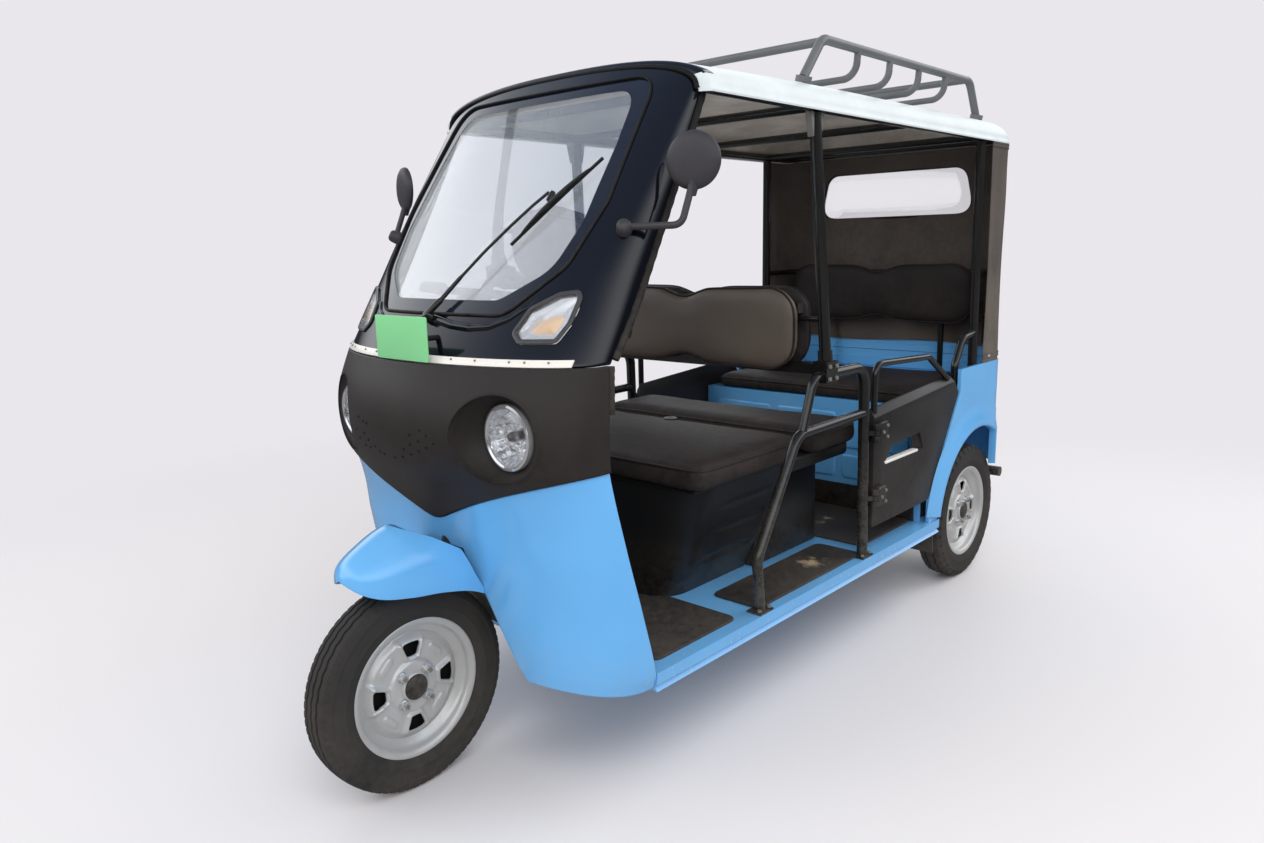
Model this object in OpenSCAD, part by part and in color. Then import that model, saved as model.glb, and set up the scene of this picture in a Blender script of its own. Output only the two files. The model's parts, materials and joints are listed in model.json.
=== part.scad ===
// Battery auto rickshaw: open-sided three-wheeler with a moulded front, back-to-back
// seats, a pair of half doors and a canvas back. Millimetres, +X forward, +Y left, +Z up.
// Stations x run from the front axle, heights h from the floor's top face.

/* [Overall] */
// Front axle to rear axle
wheelbase = 2137; // [2100:1:2180]
// Rear axle to the back of the bumper
rear_overhang = 303; // [298:1:325]
// Height of the floor's top face above the ground
floor_z = 298; // [292:1:310]
// Half width over the sills
sill_half_w = 487; // [484:1:496]
// Moulded panel thickness
panel_t = 10; // [8:0.5:12]
// Sheet steel panel thickness of the rear body
sheet_t = 12; // [9:0.5:14]
// Gap at seams between fixed pieces
seam = 0.4; // [0.2:0.1:0.6]

/* [Wheels] */
// Tyre outer diameter
tyre_d = 495; // [480:1:505]
// Tyre section width
tyre_w = 96; // [88:1:100]
// Rim flange diameter
flange_d = 332; // [320:1:340]
// Bead seat diameter of the rim
seat_d = 305; // [298:1:310]
// Width between the rim's outer faces
rim_w = 78; // [70:1:84]
// Bore of every wheel hub
hub_bore = 30.6; // [28:0.2:34]
// Running fit between hub and stub axle, on the diameter
axle_fit = 0.6; // [0.4:0.1:1]
// Rear wheels' centre plane from the centre line
rear_track_half = 411; // [408:1:414]

/* [Steering] */
// Rake of the steering axis, degrees from upright
rake = 18; // [14:0.5:20]
// Where the steering axis meets the ground, ahead of the front axle
trail = 40; // [36:1:44]
// Steering column diameter
column_d = 42; // [36:1:46]
// Fork arm's middle from the centre line
arm_y = 72; // [70:1:74]
// Handlebar height above the floor, at its stem
bar_h = 775; // [765:1:790]
// Handlebar half width
bar_half_w = 330; // [280:1:350]

/* [Front body] */
// Height of the cowl's lower point, on the centre line
v_tip = 329; // [322:1:336]
// Rise of the cowl's lower edge from its point to the door edge
v_rise = 154; // [140:1:165]
// Top of the cowl, where the light strip sits
cowl_top = 706; // [700:1:712]
// Height of the light strip
strip_h = 16; // [10:1:22]
// How far the cowl stands proud of the apron
cowl_proud = 6; // [3:0.5:8]
// Top of the wheel opening in the apron
arch_top = 306; // [300:1:310]
// Half width of the wheel opening at its top
arch_half_w = 85; // [80:1:92]
// Flare of the wheel opening from its top to its foot
arch_flare = 160; // [150:1:180]

/* [Lamps] */
// Headlamp centre from the centre line
lamp_y = 287; // [280:1:292]
// Headlamp centre below the cowl's top
lamp_drop = 149; // [144:1:156]
// Headlamp bowl diameter at the cowl's face
bowl_d = 190; // [184:1:196]
// Headlamp diameter
lamp_d = 140; // [130:1:146]
// Station of the headlamp's rim
lamp_x = -105; // [-110:1:-100]

/* [Side frames] */
// Tube diameter of pillars and guard rails
tube_d = 32; // [28:1:34]
// Bend radius of the tubes
bend_r = 60; // [50:1:66]
// Tubes' middle from the centre line
tube_y = 463; // [458:1:466]
// Station of the rear leg's foot
leg_x = -1318; // [-1330:1:-1310]
// Height of the guard rail
rail_h = 440; // [425:1:450]
// Height of the armrest tube over the guard rail
arm_h = 585; // [575:1:600]
// Station of the clamp under the roof pillar
clamp_x = -1082; // [-1092:1:-1072]

/* [Doors] */
// Door thickness
door_t = 22; // [18:1:26]
// Door's middle plane from the centre line
door_y = 466; // [464:1:468]
// Bottom edge of the doors
door_bottom = 84; // [80:1:96]
// Top edge of the doors at the hinge side
door_top = 450; // [440:1:460]
// Clearance round a moving door
door_gap = 8; // [6:0.5:12]
// Hinge pin diameter
pin_d = 10; // [8:0.5:12]

/* [Seats] */
// Top of the driver's and rear-facing cushions
seat_h = 422; // [412:1:432]
// Cushion thickness at the middle seat
cushion_t = 72; // [60:1:84]
// Cushion half width
cushion_half_w = 432; // [420:1:436]
// Front of the driver's cushion
seat_front = -566; // [-576:1:-556]
// Back of the rear-facing cushion
seat_back = -1366; // [-1376:1:-1356]
// Top of the middle backrest
backrest_top = 832; // [820:1:845]
// Height of one backrest pad
backrest_pad_h = 245; // [230:1:260]
// Top of the rear bench cushion
bench_h = 452; // [440:1:462]

/* [Rear body] */
// Rear wall's outer face behind the rear axle
tail = 253; // [250:1:262]
// Half width over the rear quarters
quarter_half_w = 478; // [474:1:482]
// Top edge of the rear quarters
quarter_top = 500; // [494:1:510]
// Lower edge of the rear body behind the wheels
quarter_bottom = 104; // [96:1:112]
// Radius of the rear wheel openings
wheel_arch_r = 322; // [312:1:328]
// Radius of the rear corners in plan
corner_r = 100; // [85:1:105]

/* [Roof] */
// Roof lip above the floor
roof_h = 1282; // [1276:1:1290]
// Half width of the roof
roof_half_w = 471; // [468:1:480]
// Crown of the roof above its lip
crown = 112; // [100:1:118]
// Front end of the roof
roof_front = -562; // [-568:1:-556]
// Roof shell thickness
roof_t = 10; // [8:0.5:12]
// Roof's overhang past the rear wall
roof_over = 24; // [16:1:30]

/* [Rack] */
// Rack tube diameter
rack_d = 26; // [22:1:28]
// Top of the rack above the roof lip
rack_h = 221; // [212:1:230]
// Half width between the rack's side rails
rack_half_w = 360; // [345:1:366]
// Front end of the rack's top rail
rack_front = -1212; // [-1230:1:-1195]
// Rack's rear rail ahead of the rear wall
rack_rear = 176; // [165:1:190]
// Cross bars of the rack
rack_bars = 4; // [3:1:5]

/* [Hidden] */
$fn = 48;
// Sleeve over the tube at its bends
bead = 0.4;
length = tyre_d / 2 + wheelbase + rear_overhang;
front_axle_x = length / 2 - tyre_d / 2;
wheel_z = tyre_d / 2;
rear_x = -wheelbase;
wall_x = rear_x - tail;
stub_d = hub_bore - axle_fit;
lamp_h = cowl_top - lamp_drop;
// Columns of both tables: height, nose station, edge station, half width, roundness
LOWER = [
    [-36, -152, -330, 478, 2.6], [2, -150, -328, 487, 2.6], [152, -148, -296, 480, 2.6],
    [262, -130, -269, 474, 2.5], [342, -103, -250, 470, 2.1], [422, -60, -232, 466, 1.85],
    [492, -15, -221, 462, 1.85], [562, 4, -224, 459, 1.9], [632, -8, -229, 456, 1.85],
    [706, -50, -236, 452, 1.8], [740, -76, -244, 451, 1.8]];
UPPER = [
    [690, -46, -232, 453, 1.9], [823, -150, -322, 449, 2.3], [960, -250, -400, 446, 2.6],
    [1102, -354, -478, 443, 2.8], [1290, -492, -576, 439, 2.6], [1362, -552, -618, 437, 2.4]];
H = 0;
NOSE = 1;
EDGE = 2;
HALF = 3;
POWER = 4;
apron_bottom = LOWER[0][H];
skin_top = UPPER[len(UPPER) - 1][H];

blue = "#69b4ea";
black = "#1d1c1c";
cowl_black = "#2b2725";
navy = "#14161f";
vinyl = "#26221f";
steel = "#b9bbb8";
white = "#e9eeea";

// Interpolation in a section table

function row(t, h, i = 0) = i >= len(t) - 2 || h < t[i + 1][H] ? i : row(t, h, i + 1);
function grade(t, i, c) =
    let (a = max(i - 1, 0), b = min(i + 1, len(t) - 1)) (t[b][c] - t[a][c]) / (t[b][H] - t[a][H]);
function value(t, h, c) =
    let (i = row(t, h), d = t[i + 1][H] - t[i][H], s = (h - t[i][H]) / d)
    (2 * pow(s, 3) - 3 * s * s + 1) * t[i][c] + (pow(s, 3) - 2 * s * s + s) * d * grade(t, i, c)
    + (3 * s * s - 2 * pow(s, 3)) * t[i + 1][c] + (pow(s, 3) - s * s) * d * grade(t, i + 1, c);

// Front skin: a superellipse plan at height h, turned out by angle a, moved out by off
function skin(t, h, a, off) =
    let (n = value(t, h, NOSE), e = value(t, h, EDGE), w = value(t, h, HALF), k = 2 / value(t, h, POWER),
        c = max(cos(a), 0), s = abs(sin(a)), u = [pow(c, 2 - k) / (n - e), pow(s, 2 - k) / w],
        g = off / norm(u), y = w * pow(s, k) + g * u.y)
    [e + (n - e) * pow(c, k) + g * u.x, sin(a) < 0 ? -y : y, h];
function skin_x(t, h, y) =
    let (n = value(t, h, NOSE), e = value(t, h, EDGE), p = value(t, h, POWER))
    e + (n - e) * pow(1 - pow(abs(y) / value(t, h, HALF), p), 1 / p);

// Lower edge of the cowl over angle a
function v_line(a) =
    let (y = 461 * abs(sin(a)), tip = 20)
    v_tip + v_rise * pow((sqrt(y * y + tip * tip) - tip) / (sqrt(461 * 461 + tip * tip) - tip), 0.85);

// Closed solid between two like grids of points, m quads by n quads
module between(outer, inner, m, n) {
    k = (m + 1) * (n + 1);
    function at(i, j) = i * (n + 1) + j;
    polyhedron(concat(outer, inner), concat(
        [for (i = [0:m - 1], j = [0:n - 1]) [at(i, j), at(i, j + 1), at(i + 1, j + 1), at(i + 1, j)]],
        [for (i = [0:m - 1], j = [0:n - 1])
            [k + at(i, j), k + at(i + 1, j), k + at(i + 1, j + 1), k + at(i, j + 1)]],
        [for (i = [0:m - 1]) [at(i, 0), at(i + 1, 0), k + at(i + 1, 0), k + at(i, 0)]],
        [for (i = [0:m - 1]) [at(i + 1, n), at(i, n), k + at(i, n), k + at(i + 1, n)]],
        [for (j = [0:n - 1]) [at(0, j + 1), at(0, j), k + at(0, j), k + at(0, j + 1)]],
        [for (j = [0:n - 1]) [at(m, j), at(m, j + 1), k + at(m, j + 1), k + at(m, j)]]));
}

function angles(m, sweep) = [for (i = [0:m]) -sweep + 2 * sweep * i / m];

// Panel of the front skin between two edges given as heights over the angles
module panel(t, low, high, out, in, m, n, sweep = 90) {
    a = angles(m, sweep);
    function grid(off) = [for (i = [0:m], j = [0:n])
        skin(t, low[i] + (high[i] - low[i]) * j / n, a[i], off)];
    between(grid(out), grid(-in), m, n);
}

// Everything behind the front skin, for trimming what meets it
module behind(t, low, high, out, back, m = 24, n = 12) {
    a = angles(m, 90);
    pts = [for (i = [0:m], j = [0:n]) skin(t, low + (high - low) * j / n, a[i], out)];
    between(pts, [for (p = pts) [back, p.y, p.z]], m, n);
}

// Frames of reference
module body() translate([front_axle_x, 0, floor_z]) children();
module ground() translate([front_axle_x, 0, 0]) children();
module steered() translate([trail, 0, 0]) rotate([0, -rake, 0]) children();
module both() {
    children();
    mirror([0, 1, 0]) children();
}
// Extrudes a (y, h) outline along the vehicle, from station x0 to x1
module along(x0, x1) translate([x0, 0, 0]) rotate([90, 0, 90]) linear_extrude(x1 - x0) children();
// Extrudes an (x, h) outline across the vehicle, from y0 to y1
module across(y0, y1) translate([0, y1, 0]) rotate([90, 0, 0]) linear_extrude(y1 - y0) children();
module slab(x0, x1, y0, y1, h0, h1) translate([x0, y0, h0]) cube([x1 - x0, y1 - y0, h1 - h0]);
module rounded(r) offset(r) offset(delta = -r) children();

// Bent tube through a list of points, with round bends
function unit(v) = v / norm(v);
function turn(p, i) = acos(unit(p[i] - p[i - 1]) * unit(p[i + 1] - p[i]));
function setback(p, i, r) = i <= 0 || i >= len(p) - 1 ? 0 : r * tan(turn(p, i) / 2);
module bar(from, to, d) {
    v = to - from;
    translate(from) rotate([0, acos(v.z / norm(v)), atan2(v.y, v.x)]) cylinder(d = d, h = norm(v));
}
// Length of straight tube that reaches into the sleeve of a bend
function reach(p, i, r) = i <= 0 || i >= len(p) - 1 ? 0 : min(3, r * turn(p, i) / 172);
module tube(p, d, r) {
    for (i = [0:len(p) - 2]) {
        u = unit(p[i + 1] - p[i]);
        bar(p[i] + u * (setback(p, i, r) - reach(p, i, r)),
            p[i + 1] - u * (setback(p, i + 1, r) - reach(p, i + 1, r)), d);
    }
    for (i = [1:1:len(p) - 2]) {
        u = unit(p[i] - p[i - 1]);
        v = unit(p[i + 1] - p[i]);
        w = unit(v - u * (u * v));
        n = cross(u, w);
        o = p[i] - u * setback(p, i, r) + w * r;
        multmatrix([[-w.x, u.x, n.x, o.x], [-w.y, u.y, n.y, o.y], [-w.z, u.z, n.z, o.z], [0, 0, 0, 1]])
            rotate_extrude(angle = turn(p, i)) translate([r, 0]) circle(d = d + 2 * bead);
    }
}

// Floor and chassis

floor_t = 13;
sill_w = 57;
sill_drop = 45;
floor_front = -292;
sill_front = LOWER[0][EDGE] - seam;
sill_end = rear_x + sqrt(pow(wheel_arch_r, 2) - pow(wheel_z - floor_z, 2));
bench_x = rear_x + 395;
floor_half_w = sill_half_w - sill_w;

module floor_pan() color(blue) body() {
    slab(bench_x - sheet_t, floor_front, -floor_half_w, floor_half_w, -floor_t, 0);
    both() difference() {
        slab(sill_end, sill_front, floor_half_w - 1, sill_half_w, -sill_drop, 0);
        translate([sill_end, sill_half_w, -sill_drop]) rotate([45, 0, 0])
            cube([sill_front - sill_end, 12, 12], center = false);
    }
    for (x = [-520:-230:bench_x + 60])
        slab(x - 30, x, -floor_half_w, floor_half_w, -floor_t - 4, -floor_t + 1);
}

rail_y = 300;
rail_w = 40;
kick_x = bench_x - sheet_t - 8;
kick_h = 40;
rail_d = 46;
bumper_d = 38;
bumper_h = 45;
bumper_x = rear_x - rear_overhang + bumper_d / 2;

module chassis_frame() color(black) body() {
    under = -floor_t - 4 - seam;
    rail = [[-345, under], [kick_x, under], [kick_x - 110, kick_h + rail_d],
        [bumper_x + bumper_d / 2 + seam, kick_h + rail_d], [bumper_x + bumper_d / 2 + seam, kick_h],
        [kick_x - 95, kick_h], [kick_x + 25, under - rail_d], [-345, under - rail_d]];
    both() across(rail_y - rail_w / 2, rail_y + rail_w / 2) polygon(rail);
    for (x = [-400, -1000, -1600]) slab(x - 40, x, -rail_y, rail_y, under - rail_d + 4, under - 4);
    slab(wall_x + 40, wall_x + 80, -rail_y, rail_y, kick_h + 4, kick_h + rail_d - 4);
}

// Moulded front

shell_m = 32;
arch_foot = -60;
function arch_half(h) = arch_half_w + arch_flare * pow((arch_top - h) / (arch_top - apron_bottom), 1.2);

module wheel_opening() {
    steps = 10;
    side = [for (i = [0:steps]) let (h = arch_foot + (arch_top - arch_foot) * i / steps) [arch_half(h), h]];
    along(-400, 100) polygon(concat(side, [for (i = [steps:-1:0]) [-side[i].x, side[i].y]]));
}

module front_apron() color(blue) body() difference() {
    a = angles(shell_m, 90);
    panel(LOWER, [for (x = a) apron_bottom], [for (x = a) v_line(x) - seam / 2], 0, panel_t, shell_m, 10);
    wheel_opening();
}

// Columns: station, top height, lower edge height, half width
FENDER = [[-190, 352, 128, 112], [-120, 345, 168, 110], [-40, 327, 191, 101], [40, 303, 200, 88],
    [100, 281, 208, 68], [135, 263, 226, 42], [153, 250, 243, 12]];
fender_t = 4;

module fender_loft() {
    n = 16;
    pts = [for (i = [0:n], s = FENDER) let (b = 180 - 180 * i / n, y = s[3] * cos(b))
        [s[0], -y, s[2] + (s[1] - s[2]) * pow(sin(b), 0.75)]];
    inner = [for (i = [0:n], s = FENDER) let (b = 180 - 180 * i / n)
        [s[0] - (s[0] > 150 ? fender_t : 0), -(s[3] - min(fender_t, s[3] / 2)) * cos(b),
        s[2] + max(s[1] - s[2] - fender_t, 1) * pow(sin(b), 0.75)]];
    between(pts, inner, n, len(FENDER) - 1);
}

module front_fender() color(blue) body() difference() {
    fender_loft();
    behind(LOWER, apron_bottom - 4, 600, cowl_proud + seam, -600);
}

bowl_t = 4;
module bowl_axis(side) translate([lamp_x, side * lamp_y, lamp_h]) rotate([0, 90, 0]) children();

module headlamp_cowl() color(cowl_black) body() {
    a = angles(shell_m, 90);
    difference() {
        panel(LOWER, [for (x = a) v_line(x) + seam / 2], [for (x = a) cowl_top - seam / 2],
            cowl_proud, panel_t,
            shell_m, 10);
        for (s = [-1, 1]) bowl_axis(s) cylinder(d = bowl_d, h = 300);
    }
    intersection() {
        for (s = [-1, 1]) bowl_axis(s) difference() {
            cylinder(d = bowl_d + 2, h = 200);
            translate([0, 0, -1]) cylinder(d = lamp_d + 2 * seam, h = 20);
            translate([0, 0, bowl_t]) cylinder(d = bowl_d - 2 * bowl_t, h = 200);
        }
        behind(LOWER, 300, 730, cowl_proud - 1, -300);
    }
}

module headlamps() color("white") body() for (s = [-1, 1]) bowl_axis(s) {
    translate([0, 0, -38]) cylinder(d1 = 80, d2 = lamp_d - 8, h = 38);
    cylinder(d = lamp_d - 1, h = 9);
    translate([0, 0, 9]) cylinder(d1 = lamp_d - 1, d2 = lamp_d - 40, h = 10);
}

strip_sweep = 66;

module light_strip() color(white) body() {
    a = angles(shell_m, strip_sweep);
    panel(UPPER, [for (x = a) cowl_top + seam / 2], [for (x = a) cowl_top + strip_h - seam / 2],
        cowl_proud - 2,
        panel_t - 4, shell_m, 1, strip_sweep);
}

// Outline of the glass in (y, h), right half, from the bottom middle upward
GLASS = [[165, 806], [300, 900], [344, 1040], [330, 1316]];
module glass_outline(grow) offset(grow) rounded(30)
    polygon(concat(GLASS, [for (i = [len(GLASS) - 1:-1:0]) [-GLASS[i].x, GLASS[i].y]]));
// Outline of an indicator in (y, h)
INDICATOR = [[268, 770], [286, 822], [340, 853], [378, 858],
    [388, 842], [386, 790], [372, 752], [292, 750]];
module indicator_outline(grow) offset(delta = grow) polygon(INDICATOR);

module surround_skin(out, in, n = 18) {
    a = angles(shell_m, 90);
    panel(UPPER, [for (x = a) cowl_top + seam / 2 + (abs(x) < strip_sweep + 2 ? strip_h : 0)],
        [for (x = a) skin_top], out, in, shell_m, n);
}

module screen_surround() color(navy) body() difference() {
    surround_skin(0, panel_t);
    along(-700, 0) glass_outline(seam / 2);
    both() along(-400, 0) indicator_outline(seam / 2);
    slab(-1000, roof_front + seam, -600, 600, roof_h - seam, roof_h + 400);
}

module windscreen() color("#bcd0d8", 0.4) body() intersection() {
    surround_skin(-2, panel_t - 2, 12);
    along(-700, 0) glass_outline(-seam / 2);
}

module front_indicators() color("orange") body() intersection() {
    surround_skin(4, panel_t + 8, 18);
    both() along(-400, 0) indicator_outline(-seam / 2);
}

plate_w = 196;
plate_h = 98;
plate_x = -48;

module front_plate() color("#86d096") body() difference() {
    union() {
        translate([plate_x, 0, cowl_top + 2]) difference() {
            translate([0, -plate_w / 2, 0]) cube([3, plate_w, plate_h]);
            for (s = [-1, 1]) translate([-1, s * 60, plate_h / 2]) rotate([0, 90, 0])
                cylinder(d = 7, h = 6);
        }
        for (s = [-1, 1]) translate([-140, s * 85, cowl_top + 50]) rotate([0, 90, 0])
            cylinder(d = 12, h = 141 + plate_x);
    }
    behind(UPPER, cowl_top, 900, seam, -600);
}

wiper_y = 16;
wiper_h = 786;

module wiper() color(black) body() {
    pivot = [skin_x(UPPER, wiper_h, wiper_y) + 18, wiper_y, wiper_h];
    knee_h = wiper_h + 281;
    low_h = wiper_h + 162;
    top_h = wiper_h + 349;
    knee = [skin_x(UPPER, knee_h, 196) + 20, 196, knee_h];
    low = [skin_x(UPPER, low_h, 155) + 12, 155, low_h];
    top = [skin_x(UPPER, top_h, 300) + 12, 300, top_h];
    difference() {
        bar([skin_x(UPPER, wiper_h, wiper_y) - 8, wiper_y, wiper_h - 8], pivot, 16);
        behind(UPPER, cowl_top, 900, seam, -600);
    }
    tube([pivot, knee, (low + top) / 2], 9, 12);
    bar(low, top, 9);
}

mirror_y = 520;
mirror_d = 122;

module mirrors() color(black) body() both() {
    root = [skin_x(UPPER, 980, 414), 414, 980];
    difference() {
        union() {
            tube([root + [8, -15, 0], [-396, mirror_y, 986], [-420, mirror_y, 1040],
                [-433, mirror_y, 1075]], 16, 24);
            bar(root + [8, -15, 0], root + [-6, 12, 0], 30);
        }
        behind(UPPER, 800, 1200, seam + 0.8, -600);
    }
    translate([-437, mirror_y, 1118]) rotate([0, 90, 18]) {
        cylinder(d = mirror_d, h = 14, center = true);
        translate([0, 0, 7]) cylinder(d1 = mirror_d, d2 = mirror_d - 50, h = 14);
    }
}

// Lining behind the front, with the tray over it
lining_half_w = 428;
toe_foot = -296;
toe_h = 548;
toe_x = -190;
lining_t = 8;
tray_h = 738;
tray_x = -216;
tray_half_w = 396;
lining_top = cowl_top - 6;
function toe(h) = toe_foot + lining_t + (toe_x - toe_foot) * h / toe_h;

module inner_fairing() color(black) body() difference() {
    a = angles(shell_m, 62);
    head_x = toe_x + (tray_x - toe_x) * (lining_top - toe_h) / (tray_h - toe_h);
    union() {
        across(-lining_half_w, lining_half_w) polygon([[toe_foot, seam], [toe_x, toe_h],
            [head_x, lining_top],
            [head_x + lining_t, lining_top], [toe_x + lining_t, toe_h], [toe_foot + lining_t, seam]]);
        across(-tray_half_w, tray_half_w) polygon([[head_x, lining_top - 1], [tray_x, tray_h],
            [tray_x + lining_t, tray_h], [head_x + lining_t, lining_top - 1]]);
        translate([0, 0, tray_h - lining_t]) linear_extrude(lining_t) intersection() {
            polygon(concat([for (x = a) let (p = skin(UPPER, tray_h, x, -panel_t - 3)) [p.x, p.y]],
                [[-300, lining_half_w], [-300, -lining_half_w]]));
            translate([tray_x, -lining_half_w]) square([400, 2 * lining_half_w]);
        }
    }
    translate([0, 0, -floor_z]) steered() cylinder(d = column_d + 26, h = 1200);
}

// Steering

head_low = 692;
head_high = 782;
head_wall = 10;
gusset_low = 345;
gusset_high = 396;

function axis_x(h) = trail - (floor_z + h) * tan(rake);

module steering_head() color(black) body() difference() {
    union() {
        translate([0, 0, -floor_z]) steered() translate([0, 0, head_low])
            cylinder(d = column_d + 2 * head_wall, h = head_high - head_low);
        for (s = [-1, 1]) across(s * 22 - 4, s * 22 + 4)
            polygon([[toe(gusset_low) + seam, gusset_low], [axis_x(gusset_low) - 8, gusset_low],
                [axis_x(gusset_high) - 8, gusset_high], [toe(gusset_high) + seam, gusset_high]]);
    }
    translate([0, 0, -floor_z]) steered() cylinder(d = column_d + axle_fit, h = 1200);
}

hub_x = wheel_z * sin(rake) - trail * cos(rake);
hub_s = wheel_z * cos(rake) + trail * sin(rake);
crown_s = 566;
arm_t = 24;
bar_s = (floor_z + bar_h) / cos(rake);
stub_depth = 3;

module wheel_end(y) translate([hub_x, 0, hub_s]) rotate([0, rake, 0])
    translate([0, y, 0]) rotate([-90, 0, 0])
    children();

module fork() color(black) ground() steered() {
    inner = -arm_y + arm_t / 2;
    translate([0, 0, crown_s]) cylinder(d = column_d, h = bar_s - crown_s);
    translate([-28, inner - arm_t, crown_s - 12]) cube([56, arm_y + arm_t / 2 + 26, 26]);
    translate([0, inner, 0]) rotate([90, 0, 0]) linear_extrude(arm_t)
        polygon([[-25, crown_s], [25, crown_s], [hub_x + 24, hub_s], [hub_x - 24, hub_s]]);
    wheel_end(inner - arm_t - 2) cylinder(d = 58, h = arm_t + 4);
    wheel_end(inner - arm_t / 2) cylinder(d = stub_d, h = arm_t / 2 - inner + stub_depth);
}

module handlebar() color(black) ground() steered() translate([0, 0, bar_s + seam]) {
    translate([-24, -40, 0]) cube([48, 80, 16]);
    both() {
        tube([[0, 0, 26], [-20, 120, 26], [-bar_half_w / 2, bar_half_w - 30, 26]], 22, 60);
        bar([-bar_half_w * 0.29, bar_half_w * 0.56, 26], [-bar_half_w / 2, bar_half_w - 30, 26], 34);
    }
    translate([-14, -20, 14]) cube([28, 40, 14]);
}

guard_r = 264;
guard_t = 4;
guard_w = 88;

module splash_guard() color(black) ground() {
    translate([0, 0, wheel_z]) rotate([-90, 0, 0]) rotate([0, 0, 180 + 16]) rotate_extrude(angle = 38)
        translate([guard_r, -guard_w / 2]) square([guard_t, guard_w]);
    steered() translate([0, 10, 0]) rotate([90, 0, 0]) linear_extrude(20)
        polygon([[-28 - seam, crown_s + 12], [-28 - seam, crown_s - 12], [-41, 494], [-53, 502],
            [-42, crown_s + 12]]);
}

// Wheels

seat_r = seat_d / 2;
flange_r = flange_d / 2;
rim_t = 4;
drop = 22;
hub_r = 58;
hub_in = 46;
disc_z = 16;

// Half section of the tyre as (radius, offset), from the bead outward
module tyre() {
    half = tyre_w / 2;
    bead = rim_w / 2 - rim_t - seam;
    side = [[seat_r + seam, bead - 4], [seat_r + 4, bead], [flange_r + 2, bead],
        [flange_r + 16, half - 3], [flange_r + 34, half],
        [tyre_d / 2 - 28, half - 1.5], [tyre_d / 2 - 12, half - 7], [tyre_d / 2 - 3, half - 22],
        [tyre_d / 2, half - 40]];
    n = len(side) - 1;
    rotate_extrude($fn = 96) polygon(concat(side, [for (i = [n:-1:0]) [side[i].x, -side[i].y]]));
}

module rim() {
    e = rim_w / 2;
    low = seat_r - drop;
    difference() {
        union() {
            rotate_extrude($fn = 96) polygon([[flange_r, e], [flange_r, e - rim_t], [seat_r + 3, e - rim_t],
                [seat_r, e - 7], [seat_r, 15], [low, 7], [low, -12], [seat_r, -20], [seat_r, 7 - e],
                [seat_r + 3, rim_t - e], [flange_r, rim_t - e], [flange_r, -e], [seat_r - 1, -e],
                [seat_r - rim_t, 4 - e], [seat_r - rim_t, -22], [low - rim_t, -14], [low - rim_t, 9],
                [seat_r - rim_t, 17], [seat_r - rim_t, e - 4], [seat_r - 1, e]]);
            rotate_extrude($fn = 96) polygon([[20, disc_z], [58, disc_z], [70, disc_z + 5],
                [104, disc_z + 3],
                [low - 6, 2], [low - 1, 2], [low - 1, 8], [low - 5, 10],
                [108, disc_z + 10], [70, disc_z + 12],
                [60, disc_z + 7], [20, disc_z + 7]]);
            translate([0, 0, -hub_in]) cylinder(r = hub_r, h = hub_in + disc_z + 1);
            translate([0, 0, disc_z + 6]) cylinder(d1 = 66, d2 = 58, h = 18);
        }
        for (a = [0:90:270]) rotate(a) translate([0, 0, disc_z - 20]) linear_extrude(60)
            polygon([[76, -14], [81, -19], [103, -29], [108, -25],
                [108, 25], [103, 29], [81, 19], [76, 14]]);
        translate([0, 0, -hub_in - 1]) cylinder(d = hub_bore, h = hub_in + 1 + stub_depth + 3);
    }
}

module front_wheel() ground() translate([0, 0, wheel_z]) rotate([-90, 0, 0]) children();
module rear_wheel(s) ground() translate([rear_x, s * rear_track_half, wheel_z])
    rotate([-90 * s, 0, 0]) children();

module tyre_front() color(black) front_wheel() tyre();
module rim_front() color(steel) front_wheel() rim();
module tyre_rear_left() color(black) rear_wheel(1) tyre();
module rim_rear_left() color(steel) rear_wheel(1) rim();
module tyre_rear_right() color(black) rear_wheel(-1) tyre();
module rim_rear_right() color(steel) rear_wheel(-1) rim();

// Rear axle and springs

axle_d = 54;
pad_t = 8;
pad_l = 70;
leaf_t = 7;
leaf_w = 46;
leaf_n = 3;
leaf_half = 240;
eye_r = 12;
axle_end = rear_track_half - hub_in - 8;
leaf_low = wheel_z - floor_z + axle_d / 2 + pad_t + seam;
eye_h = kick_h - seam - eye_r;
sag = eye_h - (leaf_low + (leaf_n - 0.5) * leaf_t);
leaf_r = (leaf_half * leaf_half + sag * sag) / (2 * sag);

module rear_axle() color(black) ground() translate([rear_x, 0, wheel_z]) {
    both() {
        rotate([-90, 0, 0]) cylinder(d = axle_d, h = axle_end - 20);
        translate([0, axle_end - 22, 0]) rotate([-90, 0, 0]) cylinder(d = 180, h = 16);
        translate([0, axle_end - 30, 0]) rotate([-90, 0, 0])
            cylinder(d = stub_d, h = hub_in + 8 + 30 + stub_depth);
        translate([-pad_l / 2, rail_y - leaf_w / 2, 0]) cube([pad_l, leaf_w, axle_d / 2 + pad_t]);
    }
    rotate([-90, 0, 0]) cylinder(d = 176, h = 120, center = true);
    rotate([0, 90, 0]) cylinder(d = 184, h = 330);
}

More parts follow.
